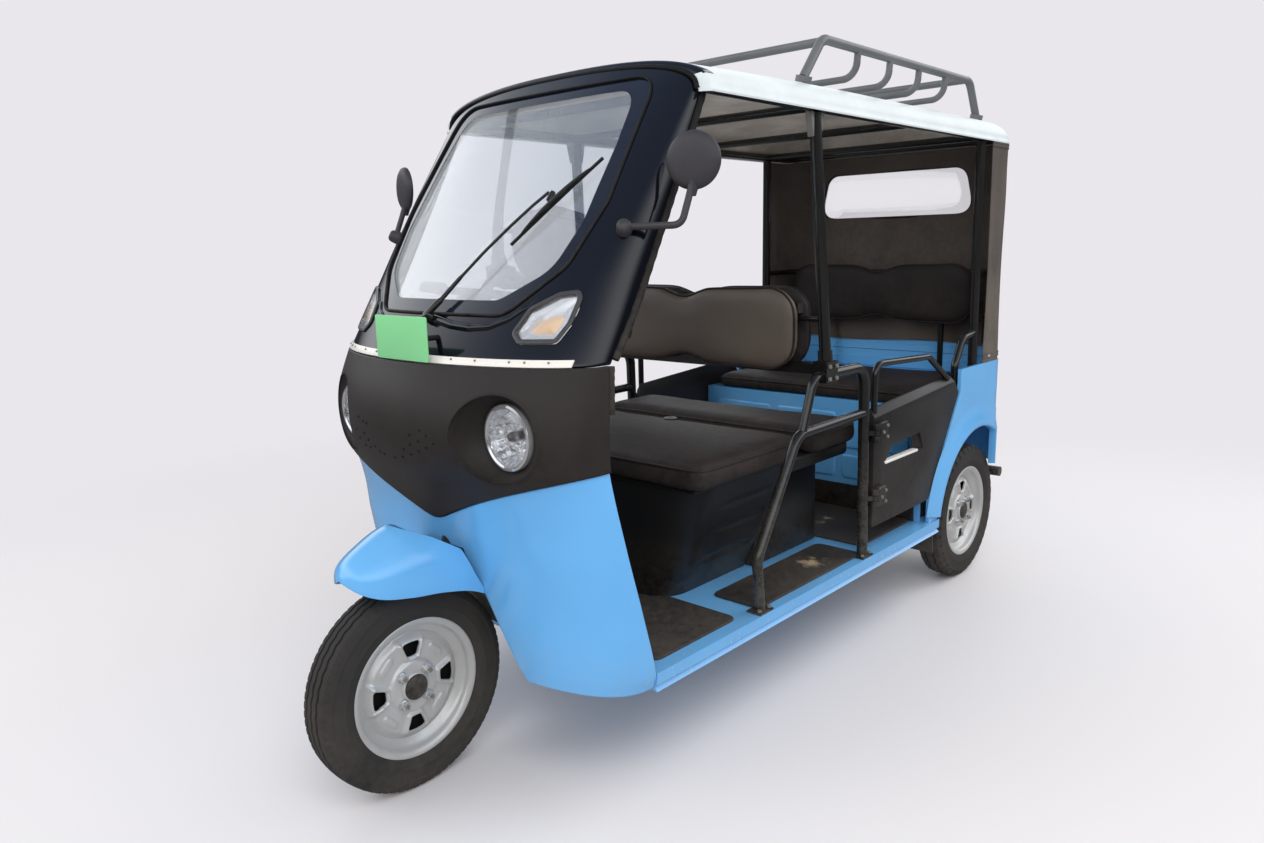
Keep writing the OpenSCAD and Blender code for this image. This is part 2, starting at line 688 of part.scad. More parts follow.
module leaf_springs() color(black) body() both() translate([rear_x, rail_y - leaf_w / 2, 0]) {
    for (i = [0:leaf_n - 1]) intersection() {
        translate([0, 0, leaf_low + i * leaf_t + leaf_r]) rotate([-90, 0, 0]) difference() {
            cylinder(r = leaf_r, h = leaf_w, $fn = 200);
            translate([0, 0, -1])
                cylinder(r = leaf_r - leaf_t - (i < leaf_n - 1 ? 1 : 0), h = leaf_w + 2, $fn = 200);
        }
        len = leaf_half * (i + 2) / (leaf_n + 1);
        translate([-len, 0, leaf_low - 10]) cube([2 * len, leaf_w, 200]);
    }
    for (s = [-1, 1]) translate([s * leaf_half, 0, eye_h]) rotate([-90, 0, 0])
        cylinder(r = eye_r, h = leaf_w);
}

// Side frames, pillars and doors

door_front = leg_x - tube_d;
door_low_x = rear_x + 392;
door_high_x = rear_x + 175;
door_high = 422;
door_peak_x = rear_x + 232;
door_peak = 488;
hinge_x = leg_x - 22;
hinge_y = tube_y + 25;
hinge_hs = [182, 383];
foot_t = 5;
clamp_h = arm_h + 40;

module foot(x) translate([x - 30, tube_y - 22, seam]) cube([60, 44, foot_t]);

module side_frames() color(black) body() both() {
    base = seam + foot_t - 1;
    knee = [-757, tube_y, 144];
    tube([[-772, tube_y, base], knee, [-945, tube_y, rail_h], [leg_x + 4, tube_y, rail_h + 6]],
        tube_d - 4, bend_r);
    tube([[leg_x, tube_y, base], [leg_x + 14, tube_y, arm_h], [clamp_x - 20, tube_y, arm_h]],
        tube_d, bend_r);
    tube([[-966, tube_y, rail_h], [-1022, tube_y, arm_h], [clamp_x + 10, tube_y, arm_h]], tube_d - 7, 40);
    slab(clamp_x - 30, clamp_x + 30, tube_y - 22, tube_y + 22, arm_h - 18, clamp_h);
    foot(-772);
    foot(leg_x);
    for (h = hinge_hs) translate([0, 0, h]) {
        translate([hinge_x, hinge_y, -26]) cylinder(d = pin_d, h = 52);
        translate([hinge_x, hinge_y, -8]) cylinder(d = 18, h = 16);
        translate([hinge_x, hinge_y, -8]) rotate(atan2(tube_y - hinge_y, leg_x - hinge_x))
            translate([7, -6, 1]) cube([norm([tube_y - hinge_y, leg_x - hinge_x]) - 7, 12, 14]);
    }
}

rail_tube = 28;
roof_rail_y = 442;
roof_rail_h = roof_h + 6;
pillar_top_x = -1044;

module centre_pillars() color(black) body() both() {
    collar_h = 26;
    low = [clamp_x, tube_y, clamp_h + seam + 2];
    top = [pillar_top_x, roof_rail_y, roof_rail_h - rail_tube / 2 - 1.2];
    bar(low + 4 * unit(top - low), top, tube_d);
    bar(low, low + collar_h * unit(top - low), tube_d + 8);
}

module door(s) color(black) body() {
    in = door_y - door_t / 2;
    out = door_y + door_t / 2;
    mirror([0, s < 0 ? 1 : 0, 0]) {
        difference() {
            across(in, out) polygon([[door_front, door_bottom], [door_low_x, door_bottom],
                [door_high_x, door_high],
                [door_peak_x, door_peak], [door_front, door_top]]);
            across(in - 1, out + 1) polygon([[-1424, 276], [-1471, 320], [-1664, 328], [-1690, 276]]);
        }
        top_rear = [door_peak_x + 20, door_y, door_peak - 10];
        tube([[door_front - 14, door_y, door_top - 12], [door_front - 14, door_y, arm_h],
            [-1730, door_y, arm_h - 16],
            top_rear], 20, 40);
        for (h = hinge_hs) difference() {
            translate([0, 0, h]) {
                slab(door_front - 46, door_front - 2, out - 1, hinge_y + 10, -28, 28);
                for (z = [-27, 10]) {
                    translate([hinge_x, hinge_y, z]) cylinder(d = 20, h = 17);
                    slab(door_front - 6, hinge_x, hinge_y - 8, hinge_y + 10, z, z + 17);
                }
            }
            translate([hinge_x, hinge_y, h - 40]) cylinder(d = pin_d + 0.6, h = 80);
        }
    }
}
module door_left() door(1);
module door_right() door(-1);

// Seats

box_low = [-650, -1380, 232];
box_top = [-606, -1376, 372];
box_h = seat_h - cushion_t - 14;
box_t = 8;
box_r = 70;

module box_corner(c, inset, h) for (x = [c[0] - box_r, c[1] + box_r], s = [-1, 1])
    translate([x, s * (c[2] - box_r), h]) cylinder(r = box_r - inset, h = 1);
module box_form(inset) hull() {
    box_corner(box_low, inset, seam - (inset > 0 ? 2 : 0));
    box_corner(box_top, inset, box_h - 1 - inset);
}

module seat_box() color(black) body() {
    difference() {
        box_form(0);
        box_form(box_t);
    }
    slab(seat_back + 40, seat_front - 30, -cushion_half_w + 40, cushion_half_w - 40, box_h - 1,
        seat_h - cushion_t - seam);
}

module battery() color("#333a44") body() slab(-1330, -720, -195, 195, seam, 232);

middle_x = -1085;
post_w = 30;

cushion_r = 50;
module cushion(x0, x1, half_w, h0, h1) translate([0, 0, h0]) linear_extrude(h1 - h0) rounded(cushion_r)
    translate([x0, -half_w]) square([x1 - x0, 2 * half_w]);

module driver_cushion() color(vinyl) body()
    cushion(middle_x + 26, seat_front, cushion_half_w, seat_h - cushion_t, seat_h);
module passenger_cushion() color(vinyl) body()
    cushion(seat_back, middle_x - 26, cushion_half_w, seat_h - cushion_t, seat_h);

pad_t2 = 44;
pad_low = backrest_top - backrest_pad_h;
pad_corner = 86;
pad_dip = 25;

// Hung between the pillar clamps
module backrest_frame() color(black) body() {
    reach = tube_y - 22 - seam;
    foot = clamp_h - 38;
    slab(middle_x - 14, middle_x + 14, -reach, reach, foot, foot + 28);
    both() slab(middle_x - 14, middle_x + 14, 210, 210 + post_w, foot, backrest_top - 40);
    slab(middle_x - 14, middle_x + 14, -380, 380, backrest_top - 80, backrest_top - 52);
}

// Backrest outline in (y, h): two lobes that meet in a dip at the middle
module backrest_outline(w, low, high) rounded(pad_corner) polygon(concat(
    [for (i = [-16:16]) [w * i / 16, high - pad_dip * exp(-pow(w * i / 16 / 62, 2))]],
    [for (i = [16:-1:-16]) [w * i / 16, low + pad_dip * exp(-pow(w * i / 16 / 70, 2))]]));

module driver_backrest() color(vinyl) body()
    along(middle_x + 14 + seam, middle_x + 14 + pad_t2) backrest_outline(400, pad_low, backrest_top);
module passenger_backrest() color(vinyl) body()
    along(middle_x - 14 - pad_t2, middle_x - 14 - seam) backrest_outline(400, pad_low, backrest_top);

mat_t = 4;

module floor_mats() color(black) body() {
    slab(-636, toe_foot - 6, -400, 400, seam, mat_t);
    both() slab(-1280, -800, 250, 420, seam, mat_t);
    slab(bench_x + 4, -1400, -410, 410, seam, mat_t);
}

// Rear body

quarter_in = quarter_half_w - sheet_t;
joint_x = wall_x + corner_r;

// Plan of the rear body, rounded at its corners, moved in by inset
module tail_plan(inset, front) {
    w = quarter_half_w - corner_r;
    translate([wall_x + inset, -w]) square([corner_r, 2 * w]);
    for (s = [-1, 1]) translate([joint_x, s * w]) circle(r = corner_r - inset);
    translate([joint_x, inset - quarter_half_w]) square([front - joint_x, 2 * (quarter_half_w - inset)]);
}
module tail_ring(t, inset, front) difference() {
    tail_plan(inset, front);
    tail_plan(inset + t, front + 1);
}

quarter_front = door_low_x - door_gap * 1.3;
module arch_circle(grow) translate([rear_x, wheel_z - floor_z]) circle(r = wheel_arch_r + grow, $fn = 96);
flare_w = 24;
flare_t = 7;

module quarter_panels() color(blue) body() both() {
    top_x = door_high_x - door_gap * 1.3;
    across(quarter_in, quarter_half_w) difference() {
        polygon([[quarter_front, seam], [quarter_front, door_bottom], [top_x, door_high],
            [top_x, quarter_top],
            [joint_x + seam, quarter_top], [joint_x + seam, quarter_bottom],
            [rear_x, quarter_bottom], [rear_x, seam]]);
        arch_circle(0);
    }
    across(quarter_half_w - 1, quarter_half_w + flare_t) difference() {
        intersection() {
            arch_circle(flare_w);
            translate([joint_x + seam, quarter_bottom])
                square([quarter_front - joint_x - seam, wheel_arch_r]);
        }
        arch_circle(0);
    }
}

module rear_panel() color(blue) body() intersection() {
    translate([0, 0, quarter_bottom]) linear_extrude(quarter_top - quarter_bottom)
        tail_ring(sheet_t, 0, joint_x + 40);
    slab(wall_x - 10, joint_x, -600, 600, 0, 600);
}

bench_half_w = door_y - door_t / 2 - door_gap;
deck_h = bench_h - 56;
deck_t = 10;

module bench_base() color(blue) body() {
    back = wall_x + sheet_t + seam;
    slab(bench_x - sheet_t, bench_x, -bench_half_w, bench_half_w, seam, deck_h);
    translate([0, 0, deck_h - deck_t]) linear_extrude(deck_t) difference() {
        tail_plan(sheet_t + seam, bench_x);
        for (s = [-1, 1]) translate([door_high_x - 30, s < 0 ? -quarter_half_w : bench_half_w])
            square([400, quarter_half_w - bench_half_w]);
    }
    both() slab(back, bench_x, 330, 338, 62, deck_h);
}

module bench_cushion() color(vinyl) body()
    cushion(wall_x + 130, bench_x + 8, 415, deck_h + seam, bench_h);

post_x = rear_x - 6;
post_y = quarter_in - tube_d / 2 - 4;
bench_back = wall_x + 92;

module rear_posts() color(black) body() {
    base = deck_h + seam;
    both() {
        bar([post_x, post_y, base], [post_x, roof_rail_y, roof_rail_h - rail_tube / 2 - 1.2], tube_d);
        tube([[post_x, post_y, 612], [post_x + 95, post_y, 600], [door_high_x - 28, post_y, 510],
            [door_high_x - 28, post_y, base]], 26, 40);
        bar([bench_back - 14, 250, base], [bench_back - 14, 250, 850], 22);
    }
    for (h = [660, 820]) {
        bar([bench_back - 14, -post_y, h], [bench_back - 14, post_y, h], 22);
        both() bar([bench_back - 14, post_y, h], [post_x, post_y, h], 20);
    }
}

module bench_backrest() color(vinyl) body()
    along(bench_back - 3 + seam, bench_back + 42) backrest_outline(398, 620, 860);

canvas_t = 5;
canvas_in = 3;
canvas_front = rear_x - 30;

// Rear window outline in (y, h)
window_low = roof_h - 246;
window_high = roof_h - 68;
module window_outline(grow) offset(grow) rounded(36)
    polygon([[-330, window_low], [330, window_low], [292, window_high], [-292, window_high]]);

module rear_canvas() color("#3a332d") body() difference() {
    translate([0, 0, quarter_top + seam]) linear_extrude(roof_h - quarter_top - 2 * seam)
        tail_ring(canvas_t, canvas_in, canvas_front);
    along(wall_x - 20, wall_x + 60) window_outline(seam / 2);
}

module rear_window() color("#dfe8ee", 0.4) body()
    along(wall_x + canvas_in + 1, wall_x + canvas_in + canvas_t - 1) window_outline(-seam / 2);

module tail_lamps() color("#b01818") body() both()
    translate([wall_x - seam, 330, 300]) rotate([0, -90, 0]) {
    cylinder(d = 84, h = 10);
    translate([0, 0, 10]) cylinder(d1 = 78, d2 = 60, h = 8);
}

module rear_bumper() color(black) body() translate([bumper_x, 0, bumper_h]) {
    rotate([-90, 0, 0]) cylinder(d = bumper_d, h = 2 * (quarter_half_w - 12), center = true);
}

// Roof

roof_rear = wall_x - roof_over;
roof_corner = 130;
roof_m = 24;
roof_front_drop = 20;

// Outer or inner arch of the roof: stations with their half width and rise, moved in by t
function roof_rows(t) = concat(
    [for (k = [0:6]) let (x = roof_front + (roof_rear + roof_corner - roof_front) * k / 6)
        [x, roof_half_w - t, crown - roof_front_drop * pow(max(1 - k / 3, 0), 2) - t]],
    [for (k = [1:5]) let (f = cos(18 * k))
        [roof_rear + roof_corner - (roof_corner - t) * sin(18 * k), roof_half_w - t - 110 * (1 - f),
        max(crown * (0.06 + 0.94 * f) - t, 1)]]);
function roof_grid(t) = [for (i = [0:roof_m], r = roof_rows(t)) let (b = 180 * i / roof_m)
    [r[0], -r[1] * sign(cos(b)) * pow(abs(cos(b)), 0.8), roof_h + r[2] * pow(abs(sin(b)), 0.8)]];

module roof_shell() color(white) body() between(roof_grid(0), roof_grid(roof_t), roof_m, 11);

module roof_frame() color(black) body() {
    bow_half = roof_half_w - roof_t - 5;
    both()
        bar([roof_front - 12, roof_rail_y, roof_rail_h], [joint_x - 20, roof_rail_y, roof_rail_h],
            rail_tube);
    for (x = [roof_front - 30, pillar_top_x, (pillar_top_x + post_x) / 2, post_x])
        bar([x, -bow_half, roof_rail_h], [x, bow_half, roof_rail_h], 24);
    bar([joint_x - 20, -roof_rail_y, roof_rail_h], [joint_x - 20, roof_rail_y, roof_rail_h], 24);
}

// Height of the roof's outer face over its lip at half width y, away from its ends
function roof_rise(y) = crown * pow(1 - pow(y / roof_half_w, 2.5), 0.4);

rack_top = roof_h + rack_h - rack_d / 2;
rack_back = wall_x + rack_rear;
rack_floor = roof_h + crown + 18;
rack_bend = 46;

module roof_rack() color("#8d9296") body() {
    rail = [rack_front, rack_half_w, rack_top];
    seat = roof_h + roof_rise(rack_half_w) + seam;
    slope = atan((roof_rise(rack_half_w - 20) - roof_rise(rack_half_w + 20)) / 40);
    ends = [rack_front + 96, rack_back - 70];
    both() {
        tube([[ends[0], rack_half_w, seat + 11], rail, [rack_back, rack_half_w, rack_top],
            [ends[1], rack_half_w, seat + 11]], rack_d, rack_bend);
        for (x = ends) translate([x, rack_half_w, seat]) rotate([-slope, 0, 0]) cylinder(d = 44, h = 16);
    }
    for (x = [rack_front - 30, rack_back + 30])
        bar([x, -rack_half_w, rack_top], [x, rack_half_w, rack_top], rack_d - 2);
    for (i = [1:rack_bars]) let (x = rack_front + (rack_back - rack_front) * i / (rack_bars + 1))
        tube([[x, -rack_half_w, rack_top], [x, -rack_half_w + 6, rack_floor],
            [x, rack_half_w - 6, rack_floor],
            [x, rack_half_w, rack_top]], rack_d - 6, rack_bend);
}

floor_pan();
chassis_frame();
front_apron();
front_fender();
headlamp_cowl();
light_strip();
screen_surround();
windscreen();
headlamps();
front_indicators();
front_plate();
wiper();
mirrors();
inner_fairing();
steering_head();
fork();
handlebar();
splash_guard();
tyre_front();
rim_front();
floor_mats();
seat_box();
battery();
driver_cushion();
passenger_cushion();
backrest_frame();
driver_backrest();
passenger_backrest();
side_frames();
centre_pillars();
door_left();
door_right();
quarter_panels();
rear_panel();
bench_base();
bench_cushion();
bench_backrest();
rear_posts();
rear_canvas();
rear_window();
roof_frame();
roof_shell();
roof_rack();
tail_lamps();
rear_bumper();
rear_axle();
leaf_springs();
tyre_rear_left();
rim_rear_left();
tyre_rear_right();
rim_rear_right();
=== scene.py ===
import json
import math
from contextlib import contextmanager

import bmesh
import bpy
from mathutils import Matrix, Vector


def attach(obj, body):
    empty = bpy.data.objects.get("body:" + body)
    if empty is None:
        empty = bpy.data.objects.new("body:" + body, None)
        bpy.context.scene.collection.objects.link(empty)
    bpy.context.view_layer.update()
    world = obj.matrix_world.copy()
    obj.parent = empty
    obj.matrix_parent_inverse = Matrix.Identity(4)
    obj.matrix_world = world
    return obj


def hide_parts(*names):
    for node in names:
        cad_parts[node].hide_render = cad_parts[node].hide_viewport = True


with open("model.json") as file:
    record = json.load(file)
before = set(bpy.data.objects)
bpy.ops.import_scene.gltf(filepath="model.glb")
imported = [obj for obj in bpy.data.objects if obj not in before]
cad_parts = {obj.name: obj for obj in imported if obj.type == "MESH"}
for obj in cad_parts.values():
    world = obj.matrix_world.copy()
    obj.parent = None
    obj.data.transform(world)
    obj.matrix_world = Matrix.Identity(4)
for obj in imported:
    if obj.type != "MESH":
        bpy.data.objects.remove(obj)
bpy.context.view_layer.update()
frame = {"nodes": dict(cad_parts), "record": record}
scene = bpy.context.scene
nodes = frame["nodes"]
scene.view_settings.view_transform = "Standard"

axleX, floorTop = 1.09625, 0.298  # stations run from the front axle, heights from the floor's top
rearAxle, rearTrack = -2137, 411  # the rear wheels' station and half track


def spot(x, y, h):
    return Vector((x / 1000 + axleX, y / 1000, h / 1000 + floorTop))


print("frame loaded:", len(nodes), "nodes")

# camera, fitted to the photograph

cameraSet = {"place": (2.19625, 1.735, 1.243), "yaw": 222.42, "pitch": -10.92, "roll": -1.35,
             "lens": 25.87, "sensor": 36.0}


def makeCamera(s):
    yaw, pitch, roll = (math.radians(s[k]) for k in ("yaw", "pitch", "roll"))
    d = Vector((math.cos(yaw) * math.cos(pitch), math.sin(yaw) * math.cos(pitch), math.sin(pitch)))
    r = Vector((math.sin(yaw), -math.cos(yaw), 0))
    u = r.cross(d)
    right = r * math.cos(roll) + u * math.sin(roll)
    up = u * math.cos(roll) - r * math.sin(roll)
    data = bpy.data.cameras.new("camera")
    data.lens, data.sensor_width, data.sensor_fit = s["lens"], s["sensor"], "HORIZONTAL"
    cam = bpy.data.objects.new("camera", data)
    m = Matrix((right, up, -d)).transposed().to_4x4()
    m.translation = Vector(s["place"])
    cam.matrix_world = m
    scene.collection.objects.link(cam)
    scene.camera = cam


makeCamera(cameraSet)

# node helpers


def tone(code):
    parts = [int(code[i:i + 2], 16) / 255 for i in (1, 3, 5)]
    return tuple(c / 12.92 if c <= 0.04045 else ((c + 0.055) / 1.055) ** 2.4 for c in parts) + (1,)


def newGroup(name, inputs, outputs):
    tree = bpy.data.node_groups.new(name, "ShaderNodeTree")
    for label, kind, value in inputs:
        sock = tree.interface.new_socket(label, in_out="INPUT", socket_type=kind)
        sock.default_value = value
    for label, kind in outputs:
        tree.interface.new_socket(label, in_out="OUTPUT", socket_type=kind)
    return tree, tree.nodes.new("NodeGroupInput"), tree.nodes.new("NodeGroupOutput")


def mathNode(tree, op, a, b=None, clamp=False):
    n = tree.nodes.new("ShaderNodeMath")
    n.operation, n.use_clamp = op, clamp
    for i, v in enumerate((a, b)):
        if v is None:
            continue
        if isinstance(v, (int, float)):
            n.inputs[i].default_value = v
        else:
            tree.links.new(v, n.inputs[i])
    return n.outputs[0]


def mixColor(tree, factor, a, b):
    n = tree.nodes.new("ShaderNodeMix")
    n.data_type = "RGBA"
    for i, v in ((0, factor), (6, a), (7, b)):
        if isinstance(v, bpy.types.NodeSocket):
            tree.links.new(v, n.inputs[i])
        else:
            n.inputs[i].default_value = v
    return n.outputs[2]


def noiseNode(tree, scale, detail=3.0, stretch=None, rough=0.55):
    place = tree.nodes.new("ShaderNodeTexCoord").outputs["Object"]
    if stretch:
        m = tree.nodes.new("ShaderNodeMapping")
        m.inputs["Scale"].default_value = stretch
        tree.links.new(place, m.inputs["Vector"])
        place = m.outputs[0]
    n = tree.nodes.new("ShaderNodeTexNoise")
    n.inputs["Detail"].default_value = detail
    n.inputs["Roughness"].default_value = rough
    tree.links.new(place, n.inputs["Vector"])
    if isinstance(scale, (int, float)):
        n.inputs["Scale"].default_value = scale
    else:
        tree.links.new(scale, n.inputs["Scale"])
    return n.outputs["Fac"]


def spreadNode(tree, value, low, high):
    n = tree.nodes.new("ShaderNodeMapRange")
    for i, v in enumerate((value, low, high)):
        if isinstance(v, (int, float)):
            n.inputs[i].default_value = v
        else:
            tree.links.new(v, n.inputs[i])
    return n.outputs[0]


def smoothSpan(tree, value, span):
    n = tree.nodes.new("ShaderNodeMapRange")
    n.interpolation_type = "SMOOTHSTEP"
    n.inputs["From Min"].default_value, n.inputs["From Max"].default_value = span
    tree.links.new(value, n.inputs["Value"])
    return n.outputs["Result"]


def mixShader(tree, factor, a, b):
    n = tree.nodes.new("ShaderNodeMixShader")
    for i, v in enumerate((factor, a, b)):
        tree.links.new(v, n.inputs[i])
    return n.outputs[0]


def flatLight(tree, kind, color):
    n = tree.nodes.new(kind)
    n.inputs["Color"].default_value = color
    return n.outputs[0]


# floor, backdrop and lights

stageSet = {"floorColor": (0.77, 0.755, 0.765, 1), "skyColor": (0.87, 0.855, 0.865, 1), "skyLight": 0.85,
            "farColor": (0.82, 0.80, 0.84, 1), "fade": (1.9, 4.6), "reach": 30, "floorRough": 0.6, "aim": 0.7,
            "mirrorFloor": (0.24, 0.24, 0.25, 1), "mirrorLow": (0.05, 0.055, 0.07, 1),
            "mirrorBand": (1.7, 1.75, 1.8, 1),
            "mirrorTop": (0.24, 0.31, 0.46, 1), "bandRise": (0.10, 0.34), "bandFall": (0.42, 0.80),
            "lamps": [("keyLamp", (3.2, 3.6, 4.6), 4.4, 172), ("fillLamp", (4.2, -2.6, 2.6), 3.6, 60),
                      ("backLamp", (-3.6, 2.4, 3.8), 3.6, 80)]}


def mirroredRay(tree):  # 1 for a ray thrown back by a shiny surface, 0 for one that went through glass
    path = tree.nodes.new("ShaderNodeLightPath")
    through = mathNode(tree, "SUBTRACT", 1.0, path.outputs["Is Transmission Ray"])
    return mathNode(tree, "MULTIPLY", path.outputs["Is Glossy Ray"], through)


def makeFloor(s):  # fades into the backdrop's tone; shiny surfaces mirror a dim one
    r = s["reach"]
    mesh = bpy.data.meshes.new("floor")
    mesh.from_pydata([(-r, -r, 0), (r, -r, 0), (r, r, 0), (-r, r, 0)], [], [(0, 1, 2, 3)])
    floor = bpy.data.objects.new("floor", mesh)
    scene.collection.objects.link(floor)
    mat = bpy.data.materials.new("studioFloor")
    mat.use_nodes = True
    tree = mat.node_tree
    shader = tree.nodes["Principled BSDF"]
    shader.inputs["Base Color"].default_value = s["floorColor"]
    shader.inputs["Roughness"].default_value = s["floorRough"]
    away = tree.nodes.new("ShaderNodeVectorMath")
    away.operation = "LENGTH"
    tree.links.new(tree.nodes.new("ShaderNodeTexCoord").outputs["Object"], away.inputs[0])
    fade = smoothSpan(tree, away.outputs["Value"], s["fade"])
    seen = mixShader(tree, fade, shader.outputs[0], flatLight(tree, "ShaderNodeEmission", s["farColor"]))
    dim = flatLight(tree, "ShaderNodeEmission", s["mirrorFloor"])
    tree.links.new(mixShader(tree, mirroredRay(tree), seen, dim),
                   tree.nodes["Material Output"].inputs["Surface"])
    mesh.materials.append(mat)


def makeWorld(s):  # shiny surfaces mirror a bright band over a dim horizon
    world = bpy.data.worlds.new("studio")
    world.use_nodes = True
    scene.world = world
    tree = world.node_tree
    sky = tree.nodes["Background"]
    sky.inputs["Color"].default_value = s["skyColor"]
    sky.inputs["Strength"].default_value = s["skyLight"]
    path = tree.nodes.new("ShaderNodeLightPath")
    direct = mathNode(tree, "MAXIMUM", path.outputs["Is Camera Ray"], path.outputs["Is Transmission Ray"])
    seen = mixShader(tree, direct, sky.outputs[0], flatLight(tree, "ShaderNodeBackground", s["farColor"]))
    xyz = tree.nodes.new("ShaderNodeSeparateXYZ")
    tree.links.new(tree.nodes.new("ShaderNodeTexCoord").outputs["Generated"], xyz.inputs[0])
    mirrored = s["mirrorLow"]
    for key, color in (("bandRise", "mirrorBand"), ("bandFall", "mirrorTop")):
        mirrored = mixColor(tree, smoothSpan(tree, xyz.outputs["Z"], s[key]), mirrored, s[color])
    dome = tree.nodes.new("ShaderNodeBackground")
    tree.links.new(mirrored, dome.inputs["Color"])
    pick = mixShader(tree, mirroredRay(tree), seen, dome.outputs[0])
    tree.links.new(pick, tree.nodes["World Output"].inputs["Surface"])


def makeLamps(s):
    for name, place, size, power in s["lamps"]:
        data = bpy.data.lights.new(name, "AREA")
        data.shape, data.size, data.energy = "DISK", size, power
        lamp = bpy.data.objects.new(name, data)
        lamp.location = place
        lamp.visible_glossy = False
        way = Vector((0, 0, s["aim"])) - Vector(place)
        lamp.rotation_euler = way.to_track_quat("-Z", "Y").to_euler()
        scene.collection.objects.link(lamp)


makeFloor(stageSet)
makeWorld(stageSet)
makeLamps(stageSet)
print("camera, floor and lights placed")

# shader groups shared by the finishes


def roadDustGroup():  # mottled paint with road dust that thins out upwards
    tree, gi, go = newGroup("roadDust", [
        ("Color", "NodeSocketColor", (0.5, 0.5, 0.5, 1)), ("Shade", "NodeSocketColor", (0.4, 0.4, 0.4, 1)),
        ("Mottle Scale", "NodeSocketFloat", 6.0), ("Dust Color", "NodeSocketColor", tone("#a39a8c")),
        ("Dust", "NodeSocketFloat", 0.2), ("Dust Low", "NodeSocketFloat", 0.1),
        ("Dust High", "NodeSocketFloat", 0.6), ("Roughness", "NodeSocketFloat", 0.4),
        ("Spread", "NodeSocketFloat", 0.1)],
        [("Color", "NodeSocketColor"), ("Roughness", "NodeSocketFloat")])
    i = gi.outputs
    base = noiseNode(tree, i["Mottle Scale"], 2.0)
    speck = noiseNode(tree, 46.0, 4.0, rough=0.7)
    place = tree.nodes.new("ShaderNodeTexCoord").outputs["Object"]
    xyz = tree.nodes.new("ShaderNodeSeparateXYZ")
    tree.links.new(place, xyz.inputs[0])
    fall = spreadNode(tree, xyz.outputs["Z"], i["Dust High"], i["Dust Low"])
    spots = spreadNode(tree, mathNode(tree, "ADD", speck, mathNode(tree, "MULTIPLY", base, 0.6)), 0.55, 0.98)
    film = mathNode(tree, "MULTIPLY", mathNode(tree, "MULTIPLY", fall, i["Dust"]), spots, True)
    plain = mixColor(tree, spreadNode(tree, base, 0.3, 0.72), i["Color"], i["Shade"])
    tree.links.new(mixColor(tree, film, plain, i["Dust Color"]), go.inputs["Color"])
    part = mathNode(tree, "MULTIPLY", mathNode(tree, "SUBTRACT", speck, 0.5), i["Spread"])
    rough = mathNode(tree, "ADD", mathNode(tree, "ADD", i["Roughness"], part),
                     mathNode(tree, "MULTIPLY", film, 0.4), True)
    tree.links.new(rough, go.inputs["Roughness"])
    return tree


def fineGrainGroup():  # moulded or pressed grain for bumps
    tree, gi, go = newGroup("fineGrain",
                            [("Scale", "NodeSocketFloat", 400.0), ("Wave Scale", "NodeSocketFloat", 9.0),
                                          ("Wave", "NodeSocketFloat", 0.3)], [("Height", "NodeSocketFloat")])
    i = gi.outputs
    fine = noiseNode(tree, i["Scale"], 2.0)
    wave = mathNode(tree, "MULTIPLY", noiseNode(tree, i["Wave Scale"], 1.0), i["Wave"])
    tree.links.new(mathNode(tree, "ADD", fine, wave), go.inputs["Height"])
    return tree


def wornPatchGroup():  # rubbed patches and scratches
    tree, gi, go = newGroup("wornPatch",
                            [("Scale", "NodeSocketFloat", 8.0), ("Cover", "NodeSocketFloat", 0.3),
                                          ("Scratches", "NodeSocketFloat", 0.3)],
                            [("Mask", "NodeSocketFloat")])
    i = gi.outputs
    patch = noiseNode(tree, i["Scale"], 6.0, rough=0.68)
    edge = mathNode(tree, "SUBTRACT", 0.78, mathNode(tree, "MULTIPLY", i["Cover"], 0.5))
    body = spreadNode(tree, patch, edge, mathNode(tree, "ADD", edge, 0.07))
    lines = spreadNode(tree, noiseNode(tree, 16.0, 5.0, (3.0, 26.0, 20.0), 0.7), 0.66, 0.74)
    tree.links.new(mathNode(tree, "MAXIMUM", body, mathNode(tree, "MULTIPLY", lines, i["Scratches"]), True),
                   go.inputs["Mask"])
    return tree


roadDust, fineGrain, wornPatch = roadDustGroup(), fineGrainGroup(), wornPatchGroup()

# finishes: colour, roughness, dust, grain and wear of each material

